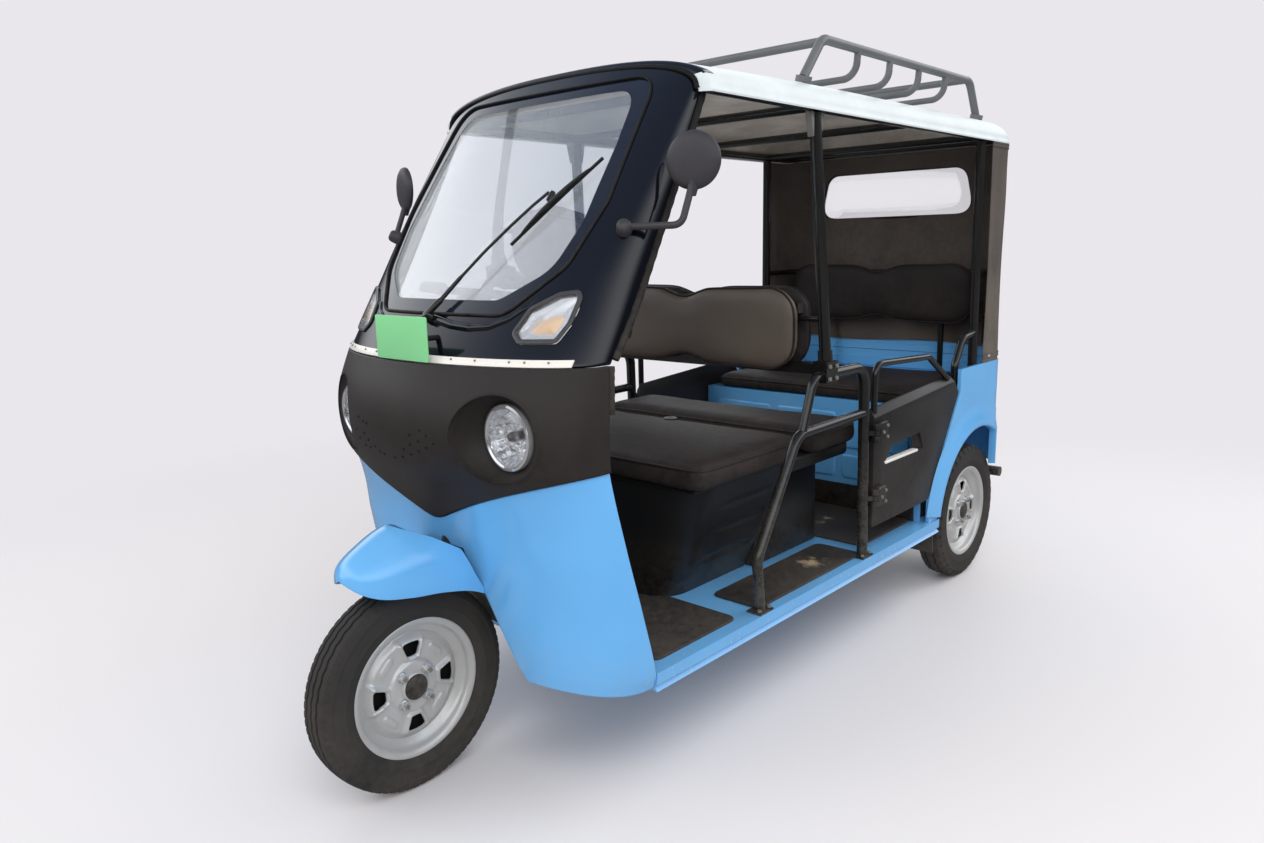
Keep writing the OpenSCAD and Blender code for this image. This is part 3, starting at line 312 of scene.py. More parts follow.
finishSet = {
    "bluePaint": dict(color="#67afe8", shade="#62aae2", rough=0.2, coat=0.5, dust=0.3, low=0.15, high=0.42,
                      grain=60, bump=0.015),
    "cowlPlastic": dict(color="#221e1d", shade="#282423", rough=0.5, spec=0.3, dust=0.1, low=0.5, high=1.1,
                        dustColor="#6b6259", grain=900, bump=0.12),
    "navyGloss": dict(color="#080a12", shade="#090c14", rough=0.1, spec=0.5, dust=0.0, low=0.9, high=1.7,
                      grain=30, bump=0.01),
    "borderPrint": dict(color="#10141f", shade="#131826", rough=0.06, coat=0.2, dust=0.03, low=0.9, high=1.7,
                        grain=30, bump=0.005),
    "tubPlastic": dict(color="#191818", shade="#1e1d1c", rough=0.36, spec=0.25, dust=0.12, low=0.28, high=0.5,
                       grain=900, bump=0.05),
    "whiteStrip": dict(color="#e6e4de", shade="#dcd9d1", rough=0.25, dust=0.1, low=0.9, high=1.2, grain=120,
                       bump=0.02),
    "plateGreen": dict(color="#7ecb8c", shade="#78c587", rough=0.45, dust=0.05, low=0.9, high=1.2, grain=500,
                       bump=0.03),
    "blackEnamel": dict(color="#131211", shade="#1a1917", rough=0.24, coat=0.3, dust=0.2, low=0.2, high=0.75,
                        grain=90, bump=0.03),
    "blackPlastic": dict(color="#171615", shade="#1e1c1a", rough=0.42, dust=0.2, low=0.25, high=0.75,
                         grain=500, bump=0.08),
    "chassisBlack": dict(color="#1a1918", shade="#232120", rough=0.6, dust=0.9, low=0.1, high=0.6, grain=160,
                         bump=0.1),
    "mirrorPlastic": dict(color="#333136", shade="#2c2b2f", rough=0.48, dust=0.08, low=0.9, high=1.6,
                          grain=1200, bump=0.1),
    "vinyl": dict(color="#1d1a1b", shade="#242122", rough=0.5, spec=0.16, dust=0.25, low=0.6, high=1.3,
                  dustColor="#5d5149", grain=1500, bump=0.16,
                  wear="#5a4a3b", cover=0.05, scratches=0.35, wearScale=7),
    "vinylWarm": dict(color="#4a423b", shade="#534a42", rough=0.46, dust=0.2, low=0.6, high=1.3,
                      dustColor="#6d6156", grain=1500,
                      bump=0.16, wear="#5f5346", cover=0.04, scratches=0.2, wearScale=6),
    "matRubber": dict(color="#262423", shade="#312d2a", rough=0.66, dust=0.4, low=0.29, high=0.34,
                      dustColor="#6d6458", grain=380, bump=0.3,
                      wear="#a8967a", cover=0.34, scratches=0.25, wearScale=4.2),
    "doorEnamel": dict(color="#1b1919", shade="#211f1f", rough=0.36, spec=0.35, coat=0.04, dust=0.08,
                       low=0.35, high=0.8, grain=140, bump=0.05),
    "canvasCloth": dict(color="#443d39", shade="#4d4641", rough=0.85, dust=0.2, low=0.7, high=1.7, grain=700,
                        bump=0.25),
    "whiteShell": dict(color="#d0d8da", shade="#c8d0d2", rough=0.35, spec=0.3, dust=0.14, low=1.45, high=1.75,
                       dustColor="#9a9282", grain=24, bump=0.05),
    "rackGrey": dict(color="#5a5d60", shade="#67696b", rough=0.38, dust=0.15, low=1.4, high=1.9, grain=200,
                     bump=0.05),
    "tyreRubber": dict(color="#2a2928", shade="#33302e", rough=0.7, spec=0.35, dust=0.4, low=0.0, high=0.5,
                       dustColor="#5b554d", grain=420, bump=0.16),
    "rimSilver": dict(color="#cbcccb", shade="#bdbebd", rough=0.32, metal=0.4, dust=0.25, low=0.0, high=0.5,
                      grain=260, bump=0.03),
    "batteryCase": dict(color="#2a2d33", shade="#31343a", rough=0.5, dust=0.3, low=0.25, high=0.6, grain=400,
                        bump=0.05),
    "redLens": dict(color="#8d1414", shade="#7c1010", rough=0.12, coat=0.4, dust=0.15, low=0.4, high=0.8,
                    grain=90, bump=0.2),
    "chrome": dict(color="#d9dadb", shade="#cfd0d2", rough=0.1, metal=0.75, dust=0.1, low=0.2, high=0.9,
                   grain=60, bump=0.01),
    "lampSilver": dict(color="#eef0f2", shade="#e0e3e6", rough=0.12, metal=0.8, dust=0.0, grain=50,
                       bump=0.02),
    "amberLens": dict(color="#dcb78f", shade="#e3c6a5", rough=0.16, coat=0.4, dust=0.05, low=0.9, high=1.2,
                      grain=90, bump=0.1),
    "greyBezel": dict(color="#2c2d30", shade="#37383b", rough=0.35, dust=0.1, low=0.9, high=1.3, grain=300,
                      bump=0.03),
    "satinGrey": dict(color="#8d8a84", shade="#7c7973", rough=0.42, metal=0.5, dust=0.2, low=0.4, high=0.9,
                      grain=260, bump=0.06),
    "roofUnder": dict(color="#d6d0c4", shade="#b7ae9f", rough=0.8, dust=0.5, low=1.5, high=1.8,
                      dustColor="#5d5348", grain=60, bump=0.25),
    "sealRubber": dict(color="#0e0e0e", shade="#131313", rough=0.55, spec=0.2, dust=0.1, low=0.9, high=1.7,
                       grain=500, bump=0.06),
    # painted shade: flat black standing in for the shade behind the rim windows and inside the cowl holes
    "paintedShadeBlack": dict(color="#060606", shade="#090909", rough=0.8, dust=0.0, grain=200, bump=0.02),
}


def makeFinish(name, s):
    mat = bpy.data.materials.new(name)
    mat.use_nodes = True
    tree = mat.node_tree
    shader = tree.nodes["Principled BSDF"]
    dust = tree.nodes.new("ShaderNodeGroup")
    dust.node_tree = roadDust
    for label, value in (("Color", tone(s["color"])), ("Shade", tone(s["shade"])),
                         ("Mottle Scale", s.get("mottle", 5.0)),
                         ("Dust Color", tone(s.get("dustColor", "#a39a8c"))), ("Dust", s["dust"]),
                         ("Dust Low", s.get("low", 0.0)), ("Dust High", s.get("high", 1.0)),
                         ("Roughness", s["rough"]), ("Spread", s.get("spread", 0.12))):
        dust.inputs[label].default_value = value
    color, rough = dust.outputs["Color"], dust.outputs["Roughness"]
    if "wear" in s:
        worn = tree.nodes.new("ShaderNodeGroup")
        worn.node_tree = wornPatch
        for label, key in (("Scale", "wearScale"), ("Cover", "cover"), ("Scratches", "scratches")):
            worn.inputs[label].default_value = s[key]
        color = mixColor(tree, worn.outputs["Mask"], color, tone(s["wear"]))
        rough = mathNode(tree, "ADD", rough, mathNode(tree, "MULTIPLY", worn.outputs["Mask"], 0.25), True)
    tree.links.new(color, shader.inputs["Base Color"])
    tree.links.new(rough, shader.inputs["Roughness"])
    shader.inputs["Metallic"].default_value = s.get("metal", 0.0)
    shader.inputs["Specular IOR Level"].default_value = s.get("spec", 0.5)
    shader.inputs["Coat Weight"].default_value = s.get("coat", 0.0)
    shader.inputs["Coat Roughness"].default_value = 0.05
    grain = tree.nodes.new("ShaderNodeGroup")
    grain.node_tree = fineGrain
    grain.inputs["Scale"].default_value = s["grain"]
    grain.inputs["Wave Scale"].default_value = s.get("waveScale", 7.0)
    grain.inputs["Wave"].default_value = s.get("wave", 0.3)
    bump = tree.nodes.new("ShaderNodeBump")
    bump.inputs["Strength"].default_value = s["bump"]
    bump.inputs["Distance"].default_value = s.get("depth", 0.002)
    tree.links.new(grain.outputs["Height"], bump.inputs["Height"])
    tree.links.new(bump.outputs[0], shader.inputs["Normal"])
    return mat


# columns: colour, roughness, alpha
glassSet = {"screenGlass": ("#cfe4ef", 0.0, 0.42), "clearLens": ("#f6f8f9", 0.02, 0.45),
            "clearVinyl": ("#f4f6f8", 0.08, 0.3)}


def makeGlass(name, code, rough, alpha):
    mat = bpy.data.materials.new(name)
    mat.use_nodes = True
    tree = mat.node_tree
    shader = tree.nodes["Principled BSDF"]
    shader.inputs["Base Color"].default_value = tone(code)
    shader.inputs["Roughness"].default_value = rough
    shader.inputs["IOR"].default_value = 1.45
    shader.inputs["Transmission Weight"].default_value = 1.0
    shader.inputs["Alpha"].default_value = alpha
    grain = tree.nodes.new("ShaderNodeGroup")
    grain.node_tree = fineGrain
    grain.inputs["Scale"].default_value = 40
    bump = tree.nodes.new("ShaderNodeBump")
    bump.inputs["Strength"].default_value = 0.01
    bump.inputs["Distance"].default_value = 0.001
    tree.links.new(grain.outputs["Height"], bump.inputs["Height"])
    tree.links.new(bump.outputs[0], shader.inputs["Normal"])
    return mat


finish = {name: makeFinish(name, s) for name, s in finishSet.items()}
finish.update({name: makeGlass(name, *row) for name, row in glassSet.items()})

slotFinish = {"body_blue": "bluePaint", "apron_blue": "bluePaint", "cowl_black": "cowlPlastic",
              "surround_navy": "navyGloss", "strip_white": "whiteStrip", "glass": "screenGlass",
              "lamp_clear": "clearLens", "lamp_amber": "amberLens", "lamp_red": "redLens",
              "plate_green": "plateGreen", "black_metal": "blackEnamel", "black_plastic": "blackPlastic",
              "mirror_black": "mirrorPlastic", "vinyl": "vinyl", "mat_rubber": "matRubber",
              "door_black": "doorEnamel", "canvas": "canvasCloth", "clear_vinyl": "clearVinyl",
              "roof_white": "whiteShell", "rack_grey": "rackGrey", "tyre": "tyreRubber",
              "rim_silver": "rimSilver", "battery_case": "batteryCase"}
nodeFinish = {"chassis_frame": "chassisBlack", "rear_axle": "chassisBlack", "leaf_springs": "chassisBlack",
              "splash_guard": "chassisBlack"}

for part in frame["record"]["subparts"]:
    mesh = nodes[part["node"]].data
    mesh.materials.clear()
    mesh.materials.append(finish[nodeFinish.get(part["node"], slotFinish[part["material_slot"]])])
print("finishes made:", len(finish))

# mesh helpers


def newPiece(name, points, faces, smooth=True):
    mesh = bpy.data.meshes.new(name)
    mesh.from_pydata([tuple(p) for p in points], [], faces)
    mesh.update()
    obj = bpy.data.objects.new(name, mesh)
    scene.collection.objects.link(obj)
    mesh.polygons.foreach_set("use_smooth", [smooth] * len(mesh.polygons))
    return obj


def gridFaces(rows, columns, closed=False, start=0):
    span = columns if closed else columns - 1
    return [(start + j * columns + i, start + j * columns + (i + 1) % columns,
             start + (j + 1) * columns + (i + 1) % columns, start + (j + 1) * columns + i)
            for j in range(rows - 1) for i in range(span)]


def gridPiece(name, rows, closed=False):
    points = [p for r in rows for p in r]
    return newPiece(name, points, gridFaces(len(rows), len(rows[0]), closed))


@contextmanager
def editing(obj):
    bm = bmesh.new()
    bm.from_mesh(obj.data)
    yield bm
    bm.to_mesh(obj.data)
    bm.free()


def mergePoints(obj):
    with editing(obj) as bm:
        bmesh.ops.remove_doubles(bm, verts=bm.verts, dist=1e-5)


def faceAlong(obj, way):  # turns an open sheet so that most of it faces that way
    with editing(obj) as bm:
        bmesh.ops.recalc_face_normals(bm, faces=bm.faces)
        if sum(f.normal.dot(Vector(way)) * f.calc_area() for f in bm.faces) < 0:
            bmesh.ops.reverse_faces(bm, faces=bm.faces)


def closeUp(obj):
    with editing(obj) as bm:
        bmesh.ops.remove_doubles(bm, verts=bm.verts, dist=1e-6)
        bmesh.ops.recalc_face_normals(bm, faces=bm.faces)


def fillEnds(obj):
    with editing(obj) as bm:
        bmesh.ops.holes_fill(bm, edges=[e for e in bm.edges if e.is_boundary], sides=0)
        bmesh.ops.recalc_face_normals(bm, faces=bm.faces)


def smoothFaces(obj):
    obj.data.polygons.foreach_set("use_smooth", [True] * len(obj.data.polygons))


def sharpen(obj, degrees):  # edges sharper than this stay crisp
    obj.data.set_sharp_from_angle(angle=math.radians(degrees))


def addModifier(obj, kind, **values):
    mod = obj.modifiers.new(kind.lower(), kind)
    for key, value in values.items():
        setattr(mod, key, value)
    return mod


def bake(obj, sharp=35):  # modifiers become the mesh
    dg = bpy.context.evaluated_depsgraph_get()
    mesh = bpy.data.meshes.new_from_object(obj.evaluated_get(dg))
    obj.modifiers.clear()
    obj.data = mesh
    smoothFaces(obj)
    sharpen(obj, sharp)
    return obj


def thicken(obj, wall, sharp=35, offset=-1.0):
    addModifier(obj, "SOLIDIFY", thickness=wall, offset=offset)
    return bake(obj, sharp)


def cut(obj, tool, kind="DIFFERENCE"):
    mod = addModifier(obj, "BOOLEAN", operation=kind, solver="EXACT")
    mod.object = tool
    bake(obj)
    bpy.data.objects.remove(tool)
    return obj


def shellOut(obj, wall, edge=0.0, segments=2, sharp=35):
    addModifier(obj, "SOLIDIFY", thickness=wall, offset=-1.0, use_even_offset=True)
    if edge:
        addModifier(obj, "BEVEL", width=edge, segments=segments, limit_method="ANGLE",
                    angle_limit=math.radians(40))
    return bake(obj, sharp)


def settle(obj, body, slotName, finishName, *stands):
    obj.data.materials.clear()
    obj.data.materials.append(finish[finishName])
    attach(obj, body)
    if stands:
        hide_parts(*stands)
    return obj


def joinPieces(name, parts):
    bm = bmesh.new()
    for p in parts:
        bm.from_mesh(p.data)
    mesh = bpy.data.meshes.new(name)
    bm.to_mesh(mesh)
    bm.free()
    for p in parts:
        bpy.data.objects.remove(p)
    obj = bpy.data.objects.new(name, mesh)
    scene.collection.objects.link(obj)
    return obj


def lathe(name, profile, centre, axis, steps=64, closed=False):
    axis = Vector(axis).normalized()
    side = axis.orthogonal().normalized()
    other = axis.cross(side)
    rows = []
    for r, t in profile:
        rows.append([Vector(centre) + axis * t + (side * math.cos(2 * math.pi * k / steps)
                     + other * math.sin(2 * math.pi * k / steps)) * r for k in range(steps)])
    if closed:
        rows.append(rows[0])
    obj = gridPiece(name, rows, True)
    closeUp(obj)
    sharpen(obj, 35)
    return obj


def roundPath(points, radius, steps=8):  # rounds the corners of a path
    points = [Vector(p) for p in points]
    out = [points[0]]
    for a, b, c in zip(points, points[1:], points[2:]):
        u, v = (b - a).normalized(), (c - b).normalized()
        turn = u.angle(v, 0)
        if turn < 0.02:
            out.append(b)
            continue
        back = min(radius * math.tan(turn / 2), (b - a).length * 0.49, (c - b).length * 0.49)
        for k in range(steps + 1):
            t = k / steps
            p, q = b - u * back, b + v * back
            out.append(p * (1 - t) ** 2 + b * 2 * t * (1 - t) + q * t ** 2)
    out.append(points[-1])
    return out


def pipe(name, points, radius, sides=16, closed=False):
    points = [Vector(p) for p in points]
    n = len(points)
    rows, side = [], None
    for i, p in enumerate(points):
        a = points[i - 1] if (i or closed) else p
        b = points[(i + 1) % n] if (i < n - 1 or closed) else p
        d = (b - a).normalized()
        side = d.orthogonal().normalized() if side is None else (side - d * side.dot(d)).normalized()
        other = d.cross(side)
        r = radius[i] if isinstance(radius, (list, tuple)) else radius
        rows.append([p + (side * math.cos(2 * math.pi * k / sides)
                          + other * math.sin(2 * math.pi * k / sides)) * r
                     for k in range(sides)])
    if closed:  # the last ring is turned to meet the first
        best = min(range(sides), key=lambda s: (rows[-1][s] - rows[0][0]).length)
        rows = rows + [rows[0][-best:] + rows[0][:-best] if best else rows[0]]
    obj = gridPiece(name, rows, True)
    if not closed:
        fillEnds(obj)
    closeUp(obj)
    sharpen(obj, 50)
    return obj


def blockPiece(name, corners, edge=0.003, segments=3):  # a box given by two corners, with rounded edges
    (x0, y0, z0), (x1, y1, z1) = corners
    points = [(x, y, z) for x in (x0, x1) for y in (y0, y1) for z in (z0, z1)]
    obj = newPiece(name, points, [(0, 1, 3, 2), (4, 6, 7, 5), (0, 4, 5, 1), (2, 3, 7, 6), (0, 2, 6, 4),
                                  (1, 5, 7, 3)])
    closeUp(obj)
    addModifier(obj, "BEVEL", width=edge, segments=segments)
    return bake(obj, 30)


# front skin: superellipse plans at each height; columns are height, nose, edge, half width, roundness

lowerSkin = [(-36, -152, -330, 478, 2.6), (2, -150, -328, 487, 2.6), (152, -148, -296, 480, 2.6),
             (262, -130, -269, 474, 2.5), (342, -103, -250, 470, 2.1), (422, -60, -232, 466, 1.85),
             (492, -15, -221, 462, 1.85), (562, 4, -224, 459, 1.9), (632, -8, -229, 456, 1.85),
             (706, -50, -236, 452, 1.8), (740, -76, -244, 451, 1.8)]
upperSkin = [(690, -46, -232, 453, 1.9), (823, -150, -322, 449, 2.3), (960, -250, -400, 446, 2.6),
             (1102, -354, -478, 443, 2.8), (1290, -492, -576, 439, 2.6), (1362, -552, -618, 437, 2.4)]


def sectionValue(table, h, c):
    i = 0
    while i < len(table) - 2 and h >= table[i + 1][0]:
        i += 1

    def grade(k):
        a, b = max(k - 1, 0), min(k + 1, len(table) - 1)
        return (table[b][c] - table[a][c]) / (table[b][0] - table[a][0])

    d = table[i + 1][0] - table[i][0]
    s = (h - table[i][0]) / d
    return ((2 * s ** 3 - 3 * s * s + 1) * table[i][c] + (s ** 3 - 2 * s * s + s) * d * grade(i)
            + (3 * s * s - 2 * s ** 3) * table[i + 1][c] + (s ** 3 - s * s) * d * grade(i + 1))


def skinPoint(table, h, a, off=0.0):  # a in degrees from straight ahead
    nose, edge, half, k = (sectionValue(table, h, c) for c in (1, 2, 3, 4))
    k = 2 / k
    c, s = max(math.cos(math.radians(a)), 0.0), abs(math.sin(math.radians(a)))
    ux, uy = c ** (2 - k) / (nose - edge), s ** (2 - k) / half
    g = off / math.hypot(ux, uy)
    y = half * s ** k + g * uy
    return spot(edge + (nose - edge) * c ** k + g * ux, -y if a < 0 else y, h)


def skinX(table, h, y):
    nose, edge, half, p = (sectionValue(table, h, c) for c in (1, 2, 3, 4))
    return edge + (nose - edge) * max(1 - min(abs(y) / half, 1) ** p, 0) ** (1 / p)


def onSkin(table, y, h, off=0.0):  # a point over the skin, off millimetres out along its normal
    e = 1.0
    dy = (skinX(table, h, y + e) - skinX(table, h, y - e)) / (2 * e)
    dh = (skinX(table, h + e, y) - skinX(table, h - e, y)) / (2 * e)
    n = Vector((1, -dy, -dh)).normalized()
    return spot(skinX(table, h, y) + n.x * off, y + n.y * off, h + n.z * off)


vSet = {"half": 461, "tip": 20, "low": 329, "rise": 154, "bow": 0.85}


def vLine(a):  # lower edge of the cowl
    half, tip = vSet["half"], vSet["tip"]
    y = half * abs(math.sin(math.radians(a)))
    share = (math.hypot(y, tip) - tip) / (math.hypot(half, tip) - tip)
    return vSet["low"] + vSet["rise"] * share ** vSet["bow"]


def behindSkin(name, table, low, high, off, back, m=72, n=40):
    angles = [-90 + 180 * i / m for i in range(m + 1)]
    outer = [[skinPoint(table, low + (high - low) * j / n, a, off) for a in angles] for j in range(n + 1)]
    rows = [p for r in outer for p in r] + [Vector((spot(back, 0, 0).x, p.y, p.z)) for r in outer for p in r]
    w, k = m + 1, (m + 1) * (n + 1)
    faces = gridFaces(n + 1, w) + gridFaces(n + 1, w, start=k)
    rim = list(range(w)) + [j * w + m for j in range(1, n + 1)] + [n * w + i for i in range(m - 1, -1, -1)] \
        + [j * w for j in range(n - 1, 0, -1)]
    faces += [(a, b, k + b, k + a) for a, b in zip(rim, rim[1:] + rim[:1])]
    obj = newPiece(name, rows, faces)
    closeUp(obj)
    return obj


def prism(name, ends, smooth=True):  # two like outlines joined by their sides
    n = len(ends[0])
    faces = [tuple(range(n)), tuple(range(2 * n - 1, n - 1, -1))]
    faces += [(i, i + n, (i + 1) % n + n, (i + 1) % n) for i in range(n)]
    obj = newPiece(name, ends[0] + ends[1], faces, smooth)
    closeUp(obj)
    return obj


def prismX(name, outline, x0, x1):  # a (y, h) outline pushed along the vehicle
    return prism(name, [[spot(x, y, h) for y, h in outline] for x in (x0, x1)])


def prismY(name, outline, y0, y1):  # an (x, h) outline pushed across the vehicle
    return prism(name, [[spot(x, y, h) for x, h in outline] for y in (y0, y1)])


def roundOutline(points, radius, steps=8):
    out = []
    n = len(points)
    for i in range(n):
        a, b, c = (Vector((*points[(i + k) % n], 0)) for k in (-1, 0, 1))
        u, v = (b - a).normalized(), (c - b).normalized()
        turn = u.angle(v, 0)
        back = min(radius * math.tan(turn / 2), (b - a).length * 0.45, (c - b).length * 0.45)
        for k in range(steps + 1):
            t = k / steps
            p = (b - u * back) * (1 - t) ** 2 + b * 2 * t * (1 - t) + (b + v * back) * t ** 2
            out.append((p.x, p.y))
    return out


def denser(outline, step):
    out = []
    for (a, b), (c, d) in zip(outline, outline[1:] + outline[:1]):
        n = max(1, int(math.hypot(c - a, d - b) / step))
        out += [(a + (c - a) * k / n, b + (d - b) * k / n) for k in range(n)]
    return out


def growOutline(outline, by):
    out = []
    n = len(outline)
    area = sum(outline[i][0] * outline[(i + 1) % n][1] - outline[(i + 1) % n][0] * outline[i][1]
               for i in range(n))
    turn = 1 if area > 0 else -1
    for i in range(n):
        (ax, ay), (bx, by2) = outline[i - 1], outline[(i + 1) % n]
        d = math.hypot(bx - ax, by2 - ay) or 1
        out.append((outline[i][0] + turn * (by2 - ay) / d * by, outline[i][1] - turn * (bx - ax) / d * by))
    return out


# fills an outline on the skin, height(s) from rim 1 to middle 0
def skinPatch(name, table, outline, rings, height):
    cy = sum(p[0] for p in outline) / len(outline)
    ch = sum(p[1] for p in outline) / len(outline)
    rows = [[onSkin(table, cy + (y - cy) * j / rings, ch + (h - ch) * j / rings, height(j / rings))
             for y, h in outline] for j in range(rings, 0, -1)]
    n = len(outline)
    points = [p for r in rows for p in r] + [onSkin(table, cy, ch, height(0))]
    faces = gridFaces(rings, n, True) + [((rings - 1) * n + i, (rings - 1) * n + (i + 1) % n, rings * n)
                                         for i in range(n)]
    obj = newPiece(name, points, faces)
    faceAlong(obj, (1, 0, 0.3))
    return obj

# moulded front: apron, fender, cowl, strip, surround, glass and lamps

apronSet = {"bottom": -36, "archTop": 258, "archHalf": 62, "archFlare": 172, "wall": 0.010, "edge": 0.0035,
            "columns": 56, "middle": 14, "lowRows": 56, "highRows": 24}


def makeApron(s):
    def archAngle(h):
        half = s["archHalf"] + s["archFlare"] * ((s["archTop"] - h) / (s["archTop"] - s["bottom"])) ** 1.2
        return math.degrees(math.asin((half / sectionValue(lowerSkin, h,
                                                           3)) ** (sectionValue(lowerSkin, h, 4) / 2)))

    m, parts = s["columns"], []
    for side in (-1, 1):
        rows = []
        for j in range(s["lowRows"] + 1):
            h = s["bottom"] + (s["archTop"] - s["bottom"]) * j / s["lowRows"]
            a0 = archAngle(h)
            rows.append([skinPoint(lowerSkin, h, side * (a0 + (90 - a0) * i / m)) for i in range(m + 1)])
        parts.append(gridPiece("apronSide", rows))
    a0 = archAngle(s["archTop"])
    angles = [-(a0 + (90 - a0) * i / m) for i in range(m, 0, -1)]
    angles += [-a0 + 2 * a0 * i / s["middle"] for i in range(s["middle"] + 1)]
    angles += [a0 + (90 - a0) * i / m for i in range(1, m + 1)]
    rows = [[skinPoint(lowerSkin, s["archTop"] + (vLine(a) - 0.4 - s["archTop"]) * j / s["highRows"], a)
             for a in angles]
            for j in range(s["highRows"] + 1)]
    parts.append(gridPiece("apronTop", rows))
    obj = joinPieces("frontApron", parts)
    mergePoints(obj)
    faceAlong(obj, (1, 0, 0))
    shellOut(obj, s["wall"], s["edge"])
    settle(obj, "chassis", "apron_blue", "bluePaint", "front_apron")


# columns: station, top height, lower edge height, half width
fenderSet = {"rows": [(-190, 345, 128, 114), (-120, 346, 168, 113), (-40, 343, 188, 108), (30, 332, 196, 100),
                      (95, 303, 206, 82), (135, 280, 222, 54), (153, 256, 240, 16)],
             "trim": [(60, 420), (28, 343), (-39, 313), (-99, 274), (-128, 205), (-160, 146), (-185, 90),
                      (-420, 90), (-420, 420)],
             "round": 0.66, "steps": 40, "stations": 44, "wall": 0.004, "edge": 0.0015}


def tableAt(table, t, c):
    i = min(int(t), len(table) - 2)
    p = [table[max(0, min(len(table) - 1, k))][c] for k in (i - 1, i, i + 1, i + 2)]
    f = t - i
    return p[1] + 0.5 * f * (p[2] - p[0]
                             + f * (2 * p[0] - 5 * p[1] + 4 * p[2] - p[3]
                                    + f * (3 * (p[1] - p[2]) + p[3] - p[0])))


def makeFender(s):
    rows = []
    last = len(s["rows"]) - 1
    for j in range(s["stations"] + 1):
        t = last * j / s["stations"]
        x, top, low, half = (tableAt(s["rows"], t, c) for c in range(4))
        row = []
        for i in range(s["steps"] + 1):
            b = math.pi * i / s["steps"]
            rise = max(math.sin(b), 0) ** s["round"]
            # soft crest down the middle
            ridge = 5 * math.exp(-((b - math.pi / 2) / 0.5) ** 2) * min(1, (last - t) / 2)
            row.append(spot(x, half * math.cos(b), low + (top - low) * rise + ridge))
        rows.append(row)
    rows.append([spot(155, 0, 246)] * (s["steps"] + 1))
    obj = gridPiece("frontFender", rows)
    mergePoints(obj)
    faceAlong(obj, (0.4, 0, 1))
    shellOut(obj, s["wall"], s["edge"])
    cut(obj, prismY("fenderTrim", roundOutline(s["trim"], 20, 5), -200, 200))
    cut(obj, behindSkin("behindFender", lowerSkin, -40, 620, 0.6, -600))
    settle(obj, "chassis", "apron_blue", "bluePaint", "front_fender")


cowlSet = {"top": 706, "proud": 6, "wall": 0.014, "edge": 0.004, "columns": 120, "rows": 56,
           "lampY": 287, "lampH": 557, "lampX": -105, "bowl": 95, "seat": 74}


def makeCowl(s):
    angles = [-90 + 180 * i / s["columns"] for i in range(s["columns"] + 1)]
    rows = []
    for j in range(s["rows"] + 1):
        t = j / s["rows"]
        rows.append([skinPoint(lowerSkin, vLine(a) + 0.4 + (s["top"] - 0.4 - vLine(a) - 0.4) * t, a,
                               s["proud"]) for a in angles])
    obj = gridPiece("headlampCowl", rows)
    faceAlong(obj, (1, 0, 0))
    shellOut(obj, s["wall"], s["edge"], 3)
    for side in (-1, 1):
        outline = [(side * s["lampY"] + s["bowl"] * math.cos(2 * math.pi * k / 72),
                    s["lampH"] + s["bowl"] * math.sin(2 * math.pi * k / 72)) for k in range(72)]
        cut(obj, prismX("bowlCut", outline, -150, 120))
    bowls = []
    for side in (-1, 1):
        rows = []
        for j in range(15):
            t = j / 14
            row = []
            for k in range(72):
                b = 2 * math.pi * k / 72
                ry, rh = math.cos(b), math.sin(b)
                rimX = skinX(lowerSkin, s["lampH"] + s["bowl"] * rh, side * s["lampY"]
                             + s["bowl"] * ry) + s["proud"]
                deep = max(rimX - s["lampX"], 2)
                r = s["bowl"] + 2.5 - 2.5 * min(1, t * 6) - (s["bowl"]
                                                             - s["seat"]) * max(0, (t - 0.1) / 0.9) ** 1.6
                x = rimX + 0.6 - deep * (t ** 0.8 if t < 1 else 1)
                row.append(spot(x, side * s["lampY"] + r * ry, s["lampH"] + r * rh))
            rows.append(row)
        bowl = gridPiece("lampBowl", rows, True)
        faceAlong(bowl, (1, 0, 0))
        thicken(bowl, 0.003)
        bowls.append(bowl)
    obj = joinPieces("headlampCowl", [obj] + bowls)
    smoothFaces(obj)
    sharpen(obj, 35)
    settle(obj, "chassis", "cowl_black", "cowlPlastic", "headlamp_cowl")


# profiles are (radius, depth) rows in metres; the rim's radii are measured from the lamp's
lampSet = {"y": 287, "h": 557, "x": -105, "radius": 70,
           "rim": [(0.002, -0.004), (0.003, 0.006), (0.001, 0.012), (-0.004, 0.0135), (-0.008, 0.011),
                   (-0.008, 0.004), (-0.006, -0.004)],
           "bowl": [(0.010, -0.040), (0.022, -0.036), (0.036, -0.027), (0.048, -0.015), (0.058, -0.003)],
           "bulb": [(0.0001, 0.004), (0.008, 0.002), (0.0115, -0.006), (0.0115, -0.03), (0.010, -0.041)],
           "lens": [(0.0001, 0.0175), (0.012, 0.0172), (0.028, 0.0158), (0.044, 0.0132), (0.056, 0.0100)],
           "facets": 14, "facetDepth": 0.0022, "ringDepth": 0.0016, "ringPitch": 420}


